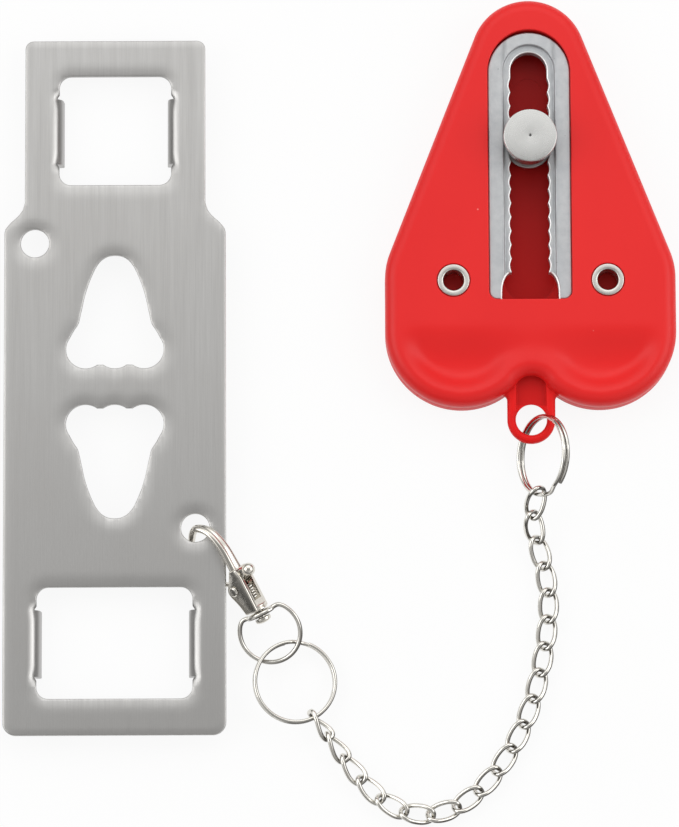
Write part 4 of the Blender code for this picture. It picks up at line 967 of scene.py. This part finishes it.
def back_moulding():
    """Back half of the lock body with its cavity and the tether loop."""
    shape = stack(lambda spare: body_outline(spare, False),
                  wall(0, BACK_SHELL_HEIGHT, -BACK_EDGE_RADIUS, -PARTING_LIP, 6))
    loop = stack(loop_outline, wall(LOOP_BOTTOM, LOOP_TOP, -LOOP_EDGE, -LOOP_EDGE, 6))
    hole = drum((0, LOOP_CENTRE_Y), LOOP_HOLE_RADIUS, wall(LOOP_BOTTOM, LOOP_TOP, LOOP_EDGE, LOOP_EDGE, 6),
                True, True, 64)
    web = stack(lambda spare: rounded_box((0, (WEB_LOW_Y + WEB_HIGH_Y) / 2), WEB_HALF_WIDTH + spare,
                                          (WEB_HIGH_Y - WEB_LOW_Y) / 2 + spare, WEB_CORNER_RADIUS, 8),
                wall(LOOP_TOP - WEB_DEPTH, LOOP_TOP, -WEB_FLOOR_RADIUS, WEB_RIM, 5), False, True)
    cavity_low, cavity_high = INSERT_BOTTOM_Y - GAP + CAVITY_HALF_WIDTH, SLOT_TOP_Y - SLOT_HALF_WIDTH
    cavity = stack(lambda spare: stadium(CAVITY_HALF_WIDTH + spare, cavity_low, cavity_high, 32),
                   wall(CAVITY_FLOOR, BACK_SHELL_HEIGHT, -CAVITY_FLOOR_RADIUS, 0, 5), False, True)
    pin_mark = drum((0, PIN_MARK_Y), PIN_MARK_RADIUS,
                    [(0, CAVITY_FLOOR - PIN_MARK_DEPTH), (0, CAVITY_FLOOR + OVERRUN)], steps=48)
    foot = [(0, BACK_SHELL_HEIGHT - EYELET_FLARE - GAP), (0, BACK_SHELL_HEIGHT)]
    feet = [drum((side * EYELET_X, EYELET_Y), EYELET_FLARE_RADIUS + GAP, foot, False, True)
            for side in (-1, 1)]
    return carved(shape, [hole, web, cavity, pin_mark, *feet], [loop])


def toothed_insert():
    """Die-cast insert with its channel, its wavy slot and the two ears."""
    shape = stack(insert_outline, wall(PARTING, INSERT_TOP, 0, -INSERT_EDGE, 5))
    ears = stack(ear_outline, [(0, PARTING), (0, PARTING + EAR_THICKNESS)])
    channel = stack(channel_outline, wall(CHANNEL_FLOOR, INSERT_TOP, -CHANNEL_FLOOR_RADIUS, CHANNEL_RIM, 5),
                    False, True)
    slot = stack(slot_outline, [(0, PARTING - OVERRUN), (0, CHANNEL_FLOOR - SLOT_LIP_DEPTH),
                                (SLOT_LIP * 0.3, CHANNEL_FLOOR - SLOT_LIP_DEPTH * 0.45),
                                (SLOT_LIP, CHANNEL_FLOOR), (SLOT_LIP, INSERT_TOP + OVERRUN)])
    bores = [drum((side * EYELET_X, EYELET_Y), EYELET_BARREL_RADIUS + GAP,
                  [(0, PARTING - OVERRUN), (0, PARTING + EAR_THICKNESS + OVERRUN)]) for side in (-1, 1)]
    return carved(shape, [channel, slot, *bores], [ears])


def eyelet(side):
    """Tubular rivet with a rolled flange."""
    under = EYELET_TOP - EYELET_FLANGE
    foot = PARTING - GAP - EYELET_FLARE
    profile = [(EYELET_BORE_RADIUS, EYELET_TOP - EYELET_MOUTH_DROP),
               (EYELET_BORE_RADIUS + EYELET_MOUTH, EYELET_TOP), (EYELET_FLANGE_RADIUS, EYELET_TOP),
               (EYELET_FLANGE_RADIUS, under), (EYELET_BARREL_RADIUS, under),
               (EYELET_BARREL_RADIUS, PARTING - GAP), (EYELET_FLARE_RADIUS, PARTING - GAP),
               (EYELET_FLARE_RADIUS, foot), (EYELET_BORE_RADIUS, foot)]
    shape = spun(softened(profile, EYELET_EDGE, True), True, 64)
    return placed(shape, Matrix.Translation((side * EYELET_X, EYELET_Y, 0)))


def knob_shapes():
    """Knob with its neck and peened end, the collar, and the washer behind."""
    knob = [(0, HEAD_TOP - DIMPLE_DEPTH), (DIMPLE_RADIUS, HEAD_TOP), (HEAD_RADIUS, HEAD_TOP),
            (HEAD_RADIUS, HEAD_LOW), (NECK_RADIUS, HEAD_LOW), (NECK_RADIUS, NECK_LOW),
            (SHANK_RADIUS, NECK_LOW), (SHANK_RADIUS, PEEN_TOP), (PEEN_RADIUS, PEEN_TOP),
            (PEEN_RADIUS, PEEN_LOW), (0, PEEN_LOW)]
    bore, barrel = SHANK_RADIUS + GAP, SLOT_HALF_WIDTH - GAP
    collar_low = CHANNEL_FLOOR + GAP
    collar = [(COLLAR_RADIUS, COLLAR_TOP), (COLLAR_RADIUS, collar_low), (barrel, collar_low),
              (barrel, PARTING), (bore, PARTING), (bore, COLLAR_TOP)]
    high = PARTING - GAP
    low = high - WASHER_THICKNESS
    washer = [(COLLAR_RADIUS, high), (COLLAR_RADIUS, low), (bore, low), (bore, high)]
    return (spun(softened(knob, HEAD_EDGE), False, 96), spun(softened(collar, COLLAR_EDGE, True), True, 80),
            spun(softened(washer, WASHER_EDGE, True), True, 64))


# Strike plate

def plate_outline():
    """Outline of the strike plate about its middle, with the narrower end upwards."""
    half_width, half_length, tab_half = PLATE_WIDTH / 2, PLATE_LENGTH / 2, TAB_WIDTH / 2
    tab_foot = half_length - TAB_LENGTH
    step = half_width - tab_half
    half = arc((tab_half - TAB_CORNER_RADIUS, half_length - TAB_CORNER_RADIUS), TAB_CORNER_RADIUS, 90, 0, 10)
    half += [(tab_half + step * across, tab_foot - SHOULDER_DROP * along)
             for across, along in SHOULDER_SHARES]
    corner = (half_width - FOOT_CORNER_RADIUS, FOOT_CORNER_RADIUS - half_length)
    half += arc(corner, FOOT_CORNER_RADIUS, 0, -90, 12)
    return half + mirrored(half)


def window_loops(width, centre_y):
    """Outline of a window with its claws still flat, and its punched edges, where None breaks the line."""
    tip = width / 2 - CLAW_REACH
    box = rounded_box((0, centre_y), width / 2, WINDOW_HEIGHT / 2, WINDOW_CORNER_RADIUS, 10)
    half = len(box) // 2
    low, high = centre_y - CLAW_LENGTH / 2, centre_y + CLAW_LENGTH / 2
    right = [(width / 2, low), (tip, low), (tip, high), (width / 2, high)]
    left = [(-width / 2, high), (-tip, high), (-tip, low), (-width / 2, low)]
    outline = right + box[:half] + left + box[half:]
    punched = [right[-1], *box[:half], left[0], None, left[-1], *box[half:], right[0], None]
    return outline, punched


def bend_claw(vert, width, centre_y):
    """Bend a point of the sheet down round the claw's bend; the sheet beside the claw follows a little."""
    past = abs(vert.co.y - centre_y) - CLAW_LENGTH / 2
    start = width / 2 + BEND_ROOM
    run = start - abs(vert.co.x)
    if run <= 0 or past > CLAW_FADE:
        return
    share = 1 - rounded(past / CLAW_FADE)
    end_share = 1 - rounded(past / CLAW_END_FADE)
    side = math.copysign(1, vert.co.x)
    radius = vert.co.z - BEND_AXIS_Z
    angle = min(run / BEND_OUTER, BEND_TURN)
    rest = max(run - BEND_RUN, 0)
    across = start - radius * math.sin(angle) - rest * math.cos(BEND_TURN)
    height = BEND_AXIS_Z + radius * math.cos(angle) - rest * math.sin(BEND_TURN)
    vert.co.x += end_share * (side * across - vert.co.x)
    vert.co.z = max(vert.co.z + share * (height - vert.co.z), WELD)


def keyhole_outline(direction):
    """Outline of a keyhole: round narrow end, flared sides and three scallops for the knob's neck."""
    crown = KEY_NEAR_Y + KEY_LENGTH - KEY_WAIST_Y
    scallop_y = KEY_NEAR_Y + SCALLOP_RADIUS
    cusp_deg = math.degrees(math.acos((SCALLOP_RADIUS - CUSP_HEIGHT) / SCALLOP_RADIUS))
    half = smooth_path([(KEY_WAIST_HALF_WIDTH * across, KEY_WAIST_Y + crown * along)
                        for across, along in KEY_TOP_SHARES], 4)
    flare = polar(SCALLOP_RADIUS, FLARE_DEG) + Vector((SCALLOP_SPACING, scallop_y, 0))
    for across, along in KEY_SIDE_SHARES:
        half.append((KEY_WAIST_HALF_WIDTH + (flare.x - KEY_WAIST_HALF_WIDTH) * across,
                     KEY_WAIST_Y + (flare.y - KEY_WAIST_Y) * along))
    half += arc((SCALLOP_SPACING, scallop_y), SCALLOP_RADIUS, FLARE_DEG, -90 - cusp_deg, 28)
    half += arc((0, scallop_y), SCALLOP_RADIUS, cusp_deg - 90, -90, 8)
    shift = 0 if direction > 0 else LOWER_KEY_SHIFT
    return [(x, direction * y - shift) for x, y in half + mirrored(half)[1:-1]]


def plate_sheet():
    """The stamped sheet about its middle: punched, its edges drawn down a little, its claws bent."""
    windows = [(SMALL_WINDOW_WIDTH, WINDOW_OFFSET), (LARGE_WINDOW_WIDTH, -WINDOW_OFFSET)]
    window_edges = [window_loops(*window) for window in windows]
    holes = [keyhole_outline(1), keyhole_outline(-1)]
    holes += [circle((side * HOLE_X, -side * HOLE_Y), HOLE_RADIUS, 56) for side in (1, -1)]
    loops = [plate_outline(), *holes, *[outline for outline, _ in window_edges]]
    shape = sheet_shape(loops, CLAW_DEPTH, CLAW_DEPTH + PLATE_THICKNESS, PLATE_EDGE)
    for axis, size in ((1, PLATE_LENGTH), (0, PLATE_WIDTH)):
        cut_in_grid(shape, axis, PLATE_GRID_MARGIN - size / 2, size / 2 - PLATE_GRID_MARGIN, PLATE_GRID)
    slanted = []
    for edge in shape.edges:
        step = edge.verts[0].co - edge.verts[1].co
        if (len(edge.link_faces) == 2 and all(abs(face.normal.z) > 0.999 for face in edge.link_faces)
                and min(abs(step.x), abs(step.y)) > WELD):
            slanted.append(edge)
    bmesh.ops.dissolve_edges(shape, edges=slanted, use_verts=True)
    for width, centre_y in windows:
        start = width / 2 + BEND_ROOM
        for side in (-1, 1):
            near = lambda face: (abs(face.calc_center_median().y - centre_y) < CLAW_LENGTH / 2 + CLAW_FADE
                                 and abs(face.calc_center_median().x * side - start + BEND_RUN / 2)
                                 < BEND_RUN * 0.75)
            ends = sorted((side * (start + BEND_GRID_MARGIN), side * (start - BEND_RUN - BEND_GRID_MARGIN)))
            cut_in_grid(shape, 0, *ends, BEND_GRID, near)
            for end in (-1, 1):
                stops = sorted(centre_y + end * (CLAW_LENGTH / 2 + fade) for fade in (0, CLAW_FADE))
                cut_in_grid(shape, 1, *stops, CLAW_END_GRID, near)
    punched = []
    for hole in holes:
        punched += [*hole, hole[0], None]
    for _, edges in window_edges:
        punched += edges
    near_hole, near_rim = nearest_finder(punched), nearest_finder(plate_outline())
    middle = CLAW_DEPTH + PLATE_THICKNESS / 2
    for vert in shape.verts:
        if vert.co.z > middle:
            spot = (vert.co.x, vert.co.y, 0.0)
            hole, rim = near_hole.find(spot)[2], near_rim.find(spot)[2]
            vert.co.z -= DIE_ROLL * max(0.0, 1 - hole / DIE_ROLL_RUN) ** 2
            vert.co.z -= RIM_ROLL * max(0.0, 1 - rim / RIM_ROLL_RUN) ** 2
        for window in windows:
            bend_claw(vert, *window)
    return shape


# Tether

def chain_pitch(number, drop):
    """Slope of one link: the first two come down from the body ring, the last two rise to the other."""
    rise = RING_LINK_LEVEL - CHAIN_LEVEL
    if number <= 2:
        share = FIRST_DROP_SHARE if number == 1 else 1 - FIRST_DROP_SHARE
        return -math.degrees(math.asin(drop * share / (2 * LINK_REACH)))
    if number > LINK_COUNT - 2:
        return math.degrees(math.asin(rise / (4 * LINK_REACH)))
    return 0


def tether_places():
    """Where each piece of the tether lies."""
    places = {}
    lean = turn(-BODY_RING_LEAN_DEG, "Y")
    mean = BODY_RING_RADIUS - RING_WIRE_RADIUS
    pivot = Vector((BODY_RING_SIDE, LOOP_CENTRE_Y - BODY_RING_DROP, (LOOP_BOTTOM + LOOP_TOP) / 2))
    places["body_ring"] = Matrix.Translation(pivot - lean @ polar(mean, BODY_RING_HANG_DEG)) @ lean
    pivot = places["body_ring"] @ polar(mean - RING_WIRE_RADIUS - RING_PLAY / 2, BODY_RING_LINK_DEG)
    drop = pivot.z - CHAIN_LEVEL
    heading = CHAIN_START_DEG
    for number in range(1, LINK_COUNT + 1):
        pitch = chain_pitch(number, drop)
        stance = turn(heading, "Z") @ turn(-pitch, "Y") @ turn(LINK_ROLLS_DEG.get(number, 0), "X")
        reach = stance @ Vector((LINK_REACH, 0, 0))
        places[f"link_{number:02d}"] = Matrix.Translation(pivot + reach) @ stance
        pivot = pivot + 2 * reach
        heading += CHAIN_BENDS_DEG[number - 1] if number < LINK_COUNT else 0
    tilt = turn(LARGE_RING_HEADING_DEG, "Z") @ turn(-LARGE_RING_TILT_DEG, "Y")
    tilt = tilt @ turn(-LARGE_RING_HEADING_DEG, "Z")
    inner = LARGE_RING_RADIUS - 2 * RING_WIRE_RADIUS
    ring_centre = pivot + tilt @ polar(inner - RING_PLAY / 2, RING_FROM_LINK_DEG)
    places["large_ring"] = Matrix.Translation(ring_centre) @ tilt
    eye_reach = inner + EYE_RADIUS - 2 * EYE_WIRE_RADIUS - EYE_SLACK
    eye_centre = ring_centre + polar(eye_reach, EYE_FROM_RING_DEG)
    eye_centre.z = EYE_LEVEL
    hook = turn(HOOK_HEADING_DEG, "Z") @ turn(-HOOK_PITCH_DEG, "Y")
    places["swivel_eye"] = Matrix.Translation(eye_centre) @ hook @ turn(-EYE_ROLL_DEG, "X")
    hook_origin = eye_centre + hook @ Vector((HOOK_FROM_EYE, 0, 0))
    places["hook"] = Matrix.Translation(hook_origin) @ hook @ turn(-HOOK_ROLL_DEG, "X")
    bend = places["hook"] @ Vector((BEND_X, BEND_Y, 0))
    plate = Vector((bend.x - BEND_SIDE - HOLE_X, bend.y + BEND_DROP + HOLE_Y, 0))
    places["strike_plate"] = Matrix.Translation(plate)
    return places


def split_ring(outer_radius, end_deg):
    """Two turns of wire side by side, which change over in a short jog between the two ends."""
    mean = outer_radius - RING_WIRE_RADIUS
    total = 720 - RING_JOG_DEG - 2 * RING_END_GAP_DEG
    points = []
    for index in range(RING_STEPS + 1):
        angle = total * index / RING_STEPS
        passed = min(max((angle - (360 - RING_JOG_DEG - RING_END_GAP_DEG)) / RING_JOG_DEG, 0), 1)
        lift = RING_COIL_PITCH * (rounded(passed) - 0.5)
        points.append(polar(mean, end_deg + angle) + Vector((0, 0, lift)))
    return soften_rims(wire(points, RING_WIRE_RADIUS - RING_WIRE_DRAW), RING_WIRE_EDGE, 2, 60)


def curb_link():
    """One curb link: a rounded loop of wire, twisted along its length."""
    half_length = LINK_LENGTH / 2 - LINK_WIRE_RADIUS
    half_width = LINK_WIDTH / 2 - LINK_WIRE_RADIUS
    points = []
    for across, along in circle((0, 0), 1, 48):
        x, y = (math.copysign(abs(share) ** LINK_SQUARENESS, share) for share in (across, along))
        roll = math.radians(LINK_TWIST_DEG * x)
        points.append((half_length * x, half_width * y * math.cos(roll), half_width * y * math.sin(roll)))
    return wire(points, LINK_WIRE_RADIUS, True)


def swivel_eye():
    """Ring of wire whose ends run into a lens-shaped crown with a bore for the hook's post."""
    mean = EYE_RADIUS - EYE_WIRE_RADIUS
    ring = [(*point, 0) for point in arc((0, 0), mean, EYE_LEAVE_DEG, 360 - EYE_LEAVE_DEG, 90)]
    leave = [(CROWN_FROM_CENTRE + out, CROWN_HALF_WIDTH * share, 0)
             for out, share in zip((0, LEAVE_OUT, LEAVE_BACK), LEAVE_SIDE_SHARES)]
    leave = smooth_path([*leave, *ring[:2]], 5)[:-6]
    points = leave + ring + [(x, -y, 0) for x, y, _ in reversed(leave)]
    across = Matrix.Translation((CROWN_FROM_CENTRE, 0, 0)) @ turn(90, "Y")
    half = CROWN_THICKNESS / 2
    rim = [(0, half), (0.62, half), (0.9, half * 0.75), (1.0, half * 0.25), (1.0, -half * 0.25),
           (0.9, -half * 0.75), (0.62, -half), (0, -half)]
    crown = spun(softened(rim, 0.2, steps=3), False, 64)
    bmesh.ops.scale(crown, verts=crown.verts, vec=(CROWN_HALF_DEPTH, CROWN_HALF_WIDTH, 1))
    bore = rod(POST_RADIUS + GAP, CROWN_THICKNESS)
    return carved(wire(points, EYE_WIRE_RADIUS), [placed(bore, across)], [placed(crown, across)])


def flattened(shape, start, end):
    """Make a tube wider across its path by a ratio that changes along X."""
    for vert in shape.verts:
        share = min(max(vert.co.x / HOOK_REACH, 0), 1)
        vert.co.z *= start + (end - start) * share
    return shape


def ribbed_arch():
    """The hook's tapering arch, with three soft ribs along its back."""
    path = [Vector(point) for point in
            smooth_path([(HOOK_REACH * along, HOOK_THROAT * across, 0) for along, across in ARCH_SHARES], 6)]
    last = len(path) - 1
    rings = []
    for index, point in enumerate(path):
        share = index / last
        ahead = (path[min(index + 1, last)] - path[max(index - 1, 0)]).normalized()
        out = Vector((ahead.y, -ahead.x, 0))
        thick = ARCH_ROOT_HALF_THICKNESS + (ARCH_TIP_HALF_THICKNESS - ARCH_ROOT_HALF_THICKNESS) * share
        wide = ARCH_ROOT_HALF_WIDTH + (ARCH_TIP_HALF_WIDTH - ARCH_ROOT_HALF_WIDTH) * share
        ring = []
        for step in range(48):
            angle = 2 * math.pi * step / 48
            level, side = math.cos(angle), math.sin(angle)
            wave = 0.5 - 0.5 * math.cos(3 * math.pi * side)
            rib = ARCH_RIB * (1 - 0.7 * share) * wave if level > 0 else 0
            ring.append(point + out * level * (thick - rib) + Vector((0, 0, side * wide)))
        rings.append(ring)
    for steps, scale in ((1, 0.8), (2, 0.45)):
        beyond = path[-1] + ahead * ARCH_END_STEP * steps
        rings.append([beyond + (point - path[-1]) * scale for point in rings[last]])
    return loft(rings)


def hook_casting():
    """Cheeks and spine, the arch, and the base with its post and peened head."""
    spine = [(0, -SPINE_BACK), (CHEEK_LENGTH * 0.8, -SPINE_BACK), (CHEEK_LENGTH, -SPINE_BACK * 0.6)]
    front = [(CHEEK_LENGTH * across, CHEEK_DEPTH * along) for across, along in reversed(CHEEK_SHARES)]
    outline = spine + softened(front, CHEEK_CORNER, steps=3)
    shape = stack(lambda spare: outline, [(0, -HOOK_WIDTH / 2), (0, HOOK_WIDTH / 2)])
    soften_rims(shape, CHEEK_EDGE_RADIUS, 4, 60)
    low = -2 * GAP - CROWN_THICKNESS
    foot = low - RIVET_THICKNESS
    high = RIVET_THICKNESS * 0.55
    dome = [(x, foot + high - y * high / RIVET_RADIUS) for x, y in arc((0, 0), RIVET_RADIUS, 0, 90, 5)[:-1]]
    post = [(0, BASE_THICKNESS), (BASE_RADIUS, BASE_THICKNESS), (BASE_RADIUS, BASE_THICKNESS * 0.62),
            (BASE_RADIUS - BASE_GROOVE, BASE_THICKNESS * 0.54),
            (BASE_RADIUS - BASE_GROOVE, BASE_THICKNESS * 0.44), (BASE_RADIUS, BASE_THICKNESS * 0.36),
            (BASE_RADIUS, 0), (POST_RADIUS, 0), (POST_RADIUS, low), (RIVET_RADIUS, low), *dome, (0, foot)]
    post = placed(spun(softened(post, BASE_EDGE, steps=3), False, 48), turn(90, "Y"))
    start, end, back, front = CHANNEL_START, CHANNEL_END, -SPINE_BACK - OVERRUN, CHEEK_DEPTH + OVERRUN
    slot = stack(lambda spare: [(start, back), (end, back), (end, front), (start, front)],
                 [(0, -HOOK_CHANNEL / 2), (0, HOOK_CHANNEL / 2)])
    bore = placed(rod(PIVOT_RADIUS + FINE_GAP, HOOK_WIDTH), Matrix.Translation((PIVOT_X, PIVOT_Y, 0)))
    return carved(shape, [slot, bore], [ribbed_arch(), post])


def gate_shapes():
    """Gate lever with its thumb ball, and the rivet it turns on, both about the rivet's axis."""
    bore = PIVOT_RADIUS + FINE_GAP
    hub = spun([(GATE_HUB_RADIUS, GATE_HALF_WIDTH), (GATE_HUB_RADIUS, -GATE_HALF_WIDTH),
                (bore, -GATE_HALF_WIDTH), (bore, GATE_HALF_WIDTH)], True, 40)
    outside = GATE_HUB_RADIUS * 0.8
    end = Vector((GATE_END_X - PIVOT_X, GATE_END_Y - PIVOT_Y, 0))
    middle = end * GATE_BOW_AT_SHARE + Vector((-end.y, end.x, 0)) * GATE_BOW_SHARE
    ratio = GATE_HALF_WIDTH / GATE_HALF_THICKNESS
    path = smooth_path([tuple(end.normalized() * outside), tuple(middle), tuple(end)], 12)
    arm = flattened(wire(path, GATE_HALF_THICKNESS), ratio, ratio * 0.75)
    ball = Vector((BALL_X - PIVOT_X, BALL_Y - PIVOT_Y, 0))
    tail = flattened(wire([ball.normalized() * outside, ball], GATE_HALF_THICKNESS), ratio * 0.9, ratio * 0.9)
    knob = bmesh.new()
    bmesh.ops.create_uvsphere(knob, u_segments=40, v_segments=24, radius=BALL_RADIUS)
    placed(knob, Matrix.Translation(ball))
    seat = HOOK_WIDTH / 2 + FINE_GAP
    top = seat + PIVOT_HEAD_THICKNESS
    rivet = [(0, top), (PIVOT_HEAD_RADIUS * 0.7, top), (PIVOT_HEAD_RADIUS, seat), (PIVOT_RADIUS, seat)]
    rivet += [(radius, -height) for radius, height in reversed(rivet)]
    return carved(hub, [], [arm, tail, knob]), spun(softened(rivet, PIVOT_EDGE), False, 40)


# The whole

def build_pieces():
    """Make every piece of the object that the camera can see."""
    plated, wire_nickel = nickel("nickel_plate"), nickel("nickel_wire", (0.78, 0.76, 0.71), 0.11, True)
    piece("front_moulding", front_moulding(), "lock_body", "front_shell",
          red_plastic("red_plastic"), True)
    piece("back_moulding", back_moulding(), "lock_body", "back_shell",
          red_plastic("red_plastic_back", 0.12, True), True)
    piece("toothed_insert", toothed_insert(), "lock_body", "slot_insert", cast_zinc(), True)
    for side, label in ((-1, "left"), (1, "right")):
        finish = turned_steel("eyelet_plate_" + label, (0.74, 0.72, 0.68), 0.26, (side * EYELET_X, EYELET_Y))
        piece("rolled_eyelet_" + label, eyelet(side), "lock_body", "eyelet_" + label, finish)
    knob, collar, washer = knob_shapes()
    piece("turned_knob", knob, "knob", "knob_stud", turned_steel("turned_steel"))
    piece("stepped_collar", collar, "slider", "slide_collar",
          turned_steel("collar_steel", (0.6, 0.6, 0.59), 0.3))
    piece("trap_washer", washer, "knob", "rear_washer",
          turned_steel("washer_steel", (0.55, 0.55, 0.54), 0.35))
    places = tether_places()
    sheet = placed(plate_sheet(), places["strike_plate"])
    piece("stamped_sheet", sheet, "plate", "strike_plate", brushed_steel())
    body_ring = split_ring(BODY_RING_RADIUS, BODY_RING_END_DEG)
    large_ring = split_ring(LARGE_RING_RADIUS, LARGE_RING_END_DEG)
    wires = [("wound_body_ring", body_ring, "tether_ring", "body_ring", "ring_wire")]
    for number in range(1, LINK_COUNT + 1):
        name = f"link_{number:02d}"
        wires.append(("curb_" + name, curb_link(), name, name, "link_wire"))
    wires += [("wound_large_ring", large_ring, "large_ring", "large_ring", "ring_wire"),
              ("crowned_eye", swivel_eye(), "swivel_eye", "swivel_eye", "eye_nickel")]
    for name, shape, body, node, slot in wires:
        piece(name, mark_painted_shade(placed(shape, places[node])), body, node, wire_nickel)
    lever, rivet = gate_shapes()
    pivot = places["hook"] @ Matrix.Translation((PIVOT_X, PIVOT_Y, 0))
    piece("hook_casting", placed(hook_casting(), places["hook"]), "hook", "hook_body", plated)
    piece("sprung_gate", placed(lever, pivot), "gate", "gate_lever", plated)
    piece("domed_pivot", placed(rivet, pivot), "hook", "gate_pivot", plated)
    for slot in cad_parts["gate_spring"].material_slots:
        slot.material = nickel("spring_wire", (0.6, 0.58, 0.54), 0.2)


def build_floor():
    """A pale floor that keeps a faint shadow of the object."""
    shape = bmesh.new()
    bmesh.ops.create_grid(shape, x_segments=1, y_segments=1, size=FLOOR_HALF_SIZE)
    floor = plain_object("floor", shape)
    floor.location.z = FLOOR_LEVEL
    material = bpy.data.materials.new("pale_floor")
    nodes = Nodes(material)
    nodes.tree.nodes.clear()
    path = nodes.put("LightPath").outputs
    seen = nodes.combine("MAXIMUM", path["Is Glossy Ray"], path["Is Transmission Ray"])
    seen = nodes.combine("MAXIMUM", path["Is Camera Ray"], seen)
    plain = nodes.put("BsdfDiffuse", {"Color": (0.9, 0.9, 0.9, 1.0)}).outputs[0]
    white = nodes.put("Emission", {"Color": (1.0, 1.0, 1.0, 1.0), "Strength": 1.0}).outputs[0]
    nodes.end("Material", nodes.put("MixShader", {0: nodes.times(seen, 0.9), 1: plain, 2: white}).outputs[0])
    floor.data.materials.append(material)


def build_camera():
    """Camera at the photograph's angle."""
    tilt, roll = math.radians(CAMERA_TILT_DEG), math.radians(CAMERA_ROLL_DEG)
    ahead = Vector((0, math.sin(tilt), -math.cos(tilt)))
    right, up = Vector((1, 0, 0)), Vector((0, math.cos(tilt), math.sin(tilt)))
    turned_right = right * math.cos(roll) - up * math.sin(roll)
    turned_up = right * math.sin(roll) + up * math.cos(roll)
    data = bpy.data.cameras.new("camera")
    data.lens = CAMERA_LENS
    data.sensor_fit = "AUTO"
    data.sensor_width = 36.0
    data.clip_start, data.clip_end = 0.05, 20.0
    camera = linked("camera", data)
    spot = CAMERA_AIM - ahead * CAMERA_DISTANCE
    stance = Matrix((turned_right, turned_up, -ahead)).transposed().to_4x4()
    camera.matrix_world = Matrix.Translation(spot) @ stance
    bpy.context.scene.camera = camera


def add_softbox(name, spot, aim, width, height, radiance):
    """Rectangular lamp of even brightness that faces a point."""
    data = bpy.data.lights.new(name, "AREA")
    data.shape = "RECTANGLE"
    data.size, data.size_y = width, height
    data.energy = radiance * math.pi * width * height
    away = Vector(spot) - Vector(aim)
    stance = away.to_track_quat("Z", "Y").to_matrix().to_4x4()
    linked(name, data).matrix_world = Matrix.Translation(spot) @ stance


def build_lights():
    """Soft studio light: a pale world, darker low down and towards the camera, and three softboxes."""
    world = bpy.data.worlds.new("studio")
    bpy.context.scene.world = world
    nodes = Nodes(world)
    nodes.tree.nodes.clear()
    direction = nodes.put("TexCoord").outputs["Generated"]
    way = nodes.axes(direction)
    rise = nodes.put("ValToRGB", {"Fac": way["Z"]})
    while len(rise.color_ramp.elements) < len(SKY_STOPS):
        rise.color_ramp.elements.new(0.5)
    for element, (position, level) in zip(rise.color_ramp.elements, SKY_STOPS):
        element.position, element.color = position, (level, level, level, 1.0)
    facing = nodes.put("VectorMath", {0: direction, 1: DARK_WAY}, operation="DOT_PRODUCT").outputs["Value"]
    dark = nodes.spread(facing, 0.78, 0.97, 1.0, 0.5)
    strength = nodes.times(rise.outputs["Color"], nodes.spread(way["Y"], -1.0, 1.0, 0.9, 1.6), dark)
    tint = (1.0, 0.995, 0.985, 1.0)
    nodes.end("World", nodes.put("Background", {"Color": tint, "Strength": strength}).outputs[0])
    for softbox in SOFTBOXES:
        add_softbox(*softbox)


build_camera()
build_pieces()
build_floor()
build_lights()

bpy.context.scene.view_settings.view_transform = "Standard"
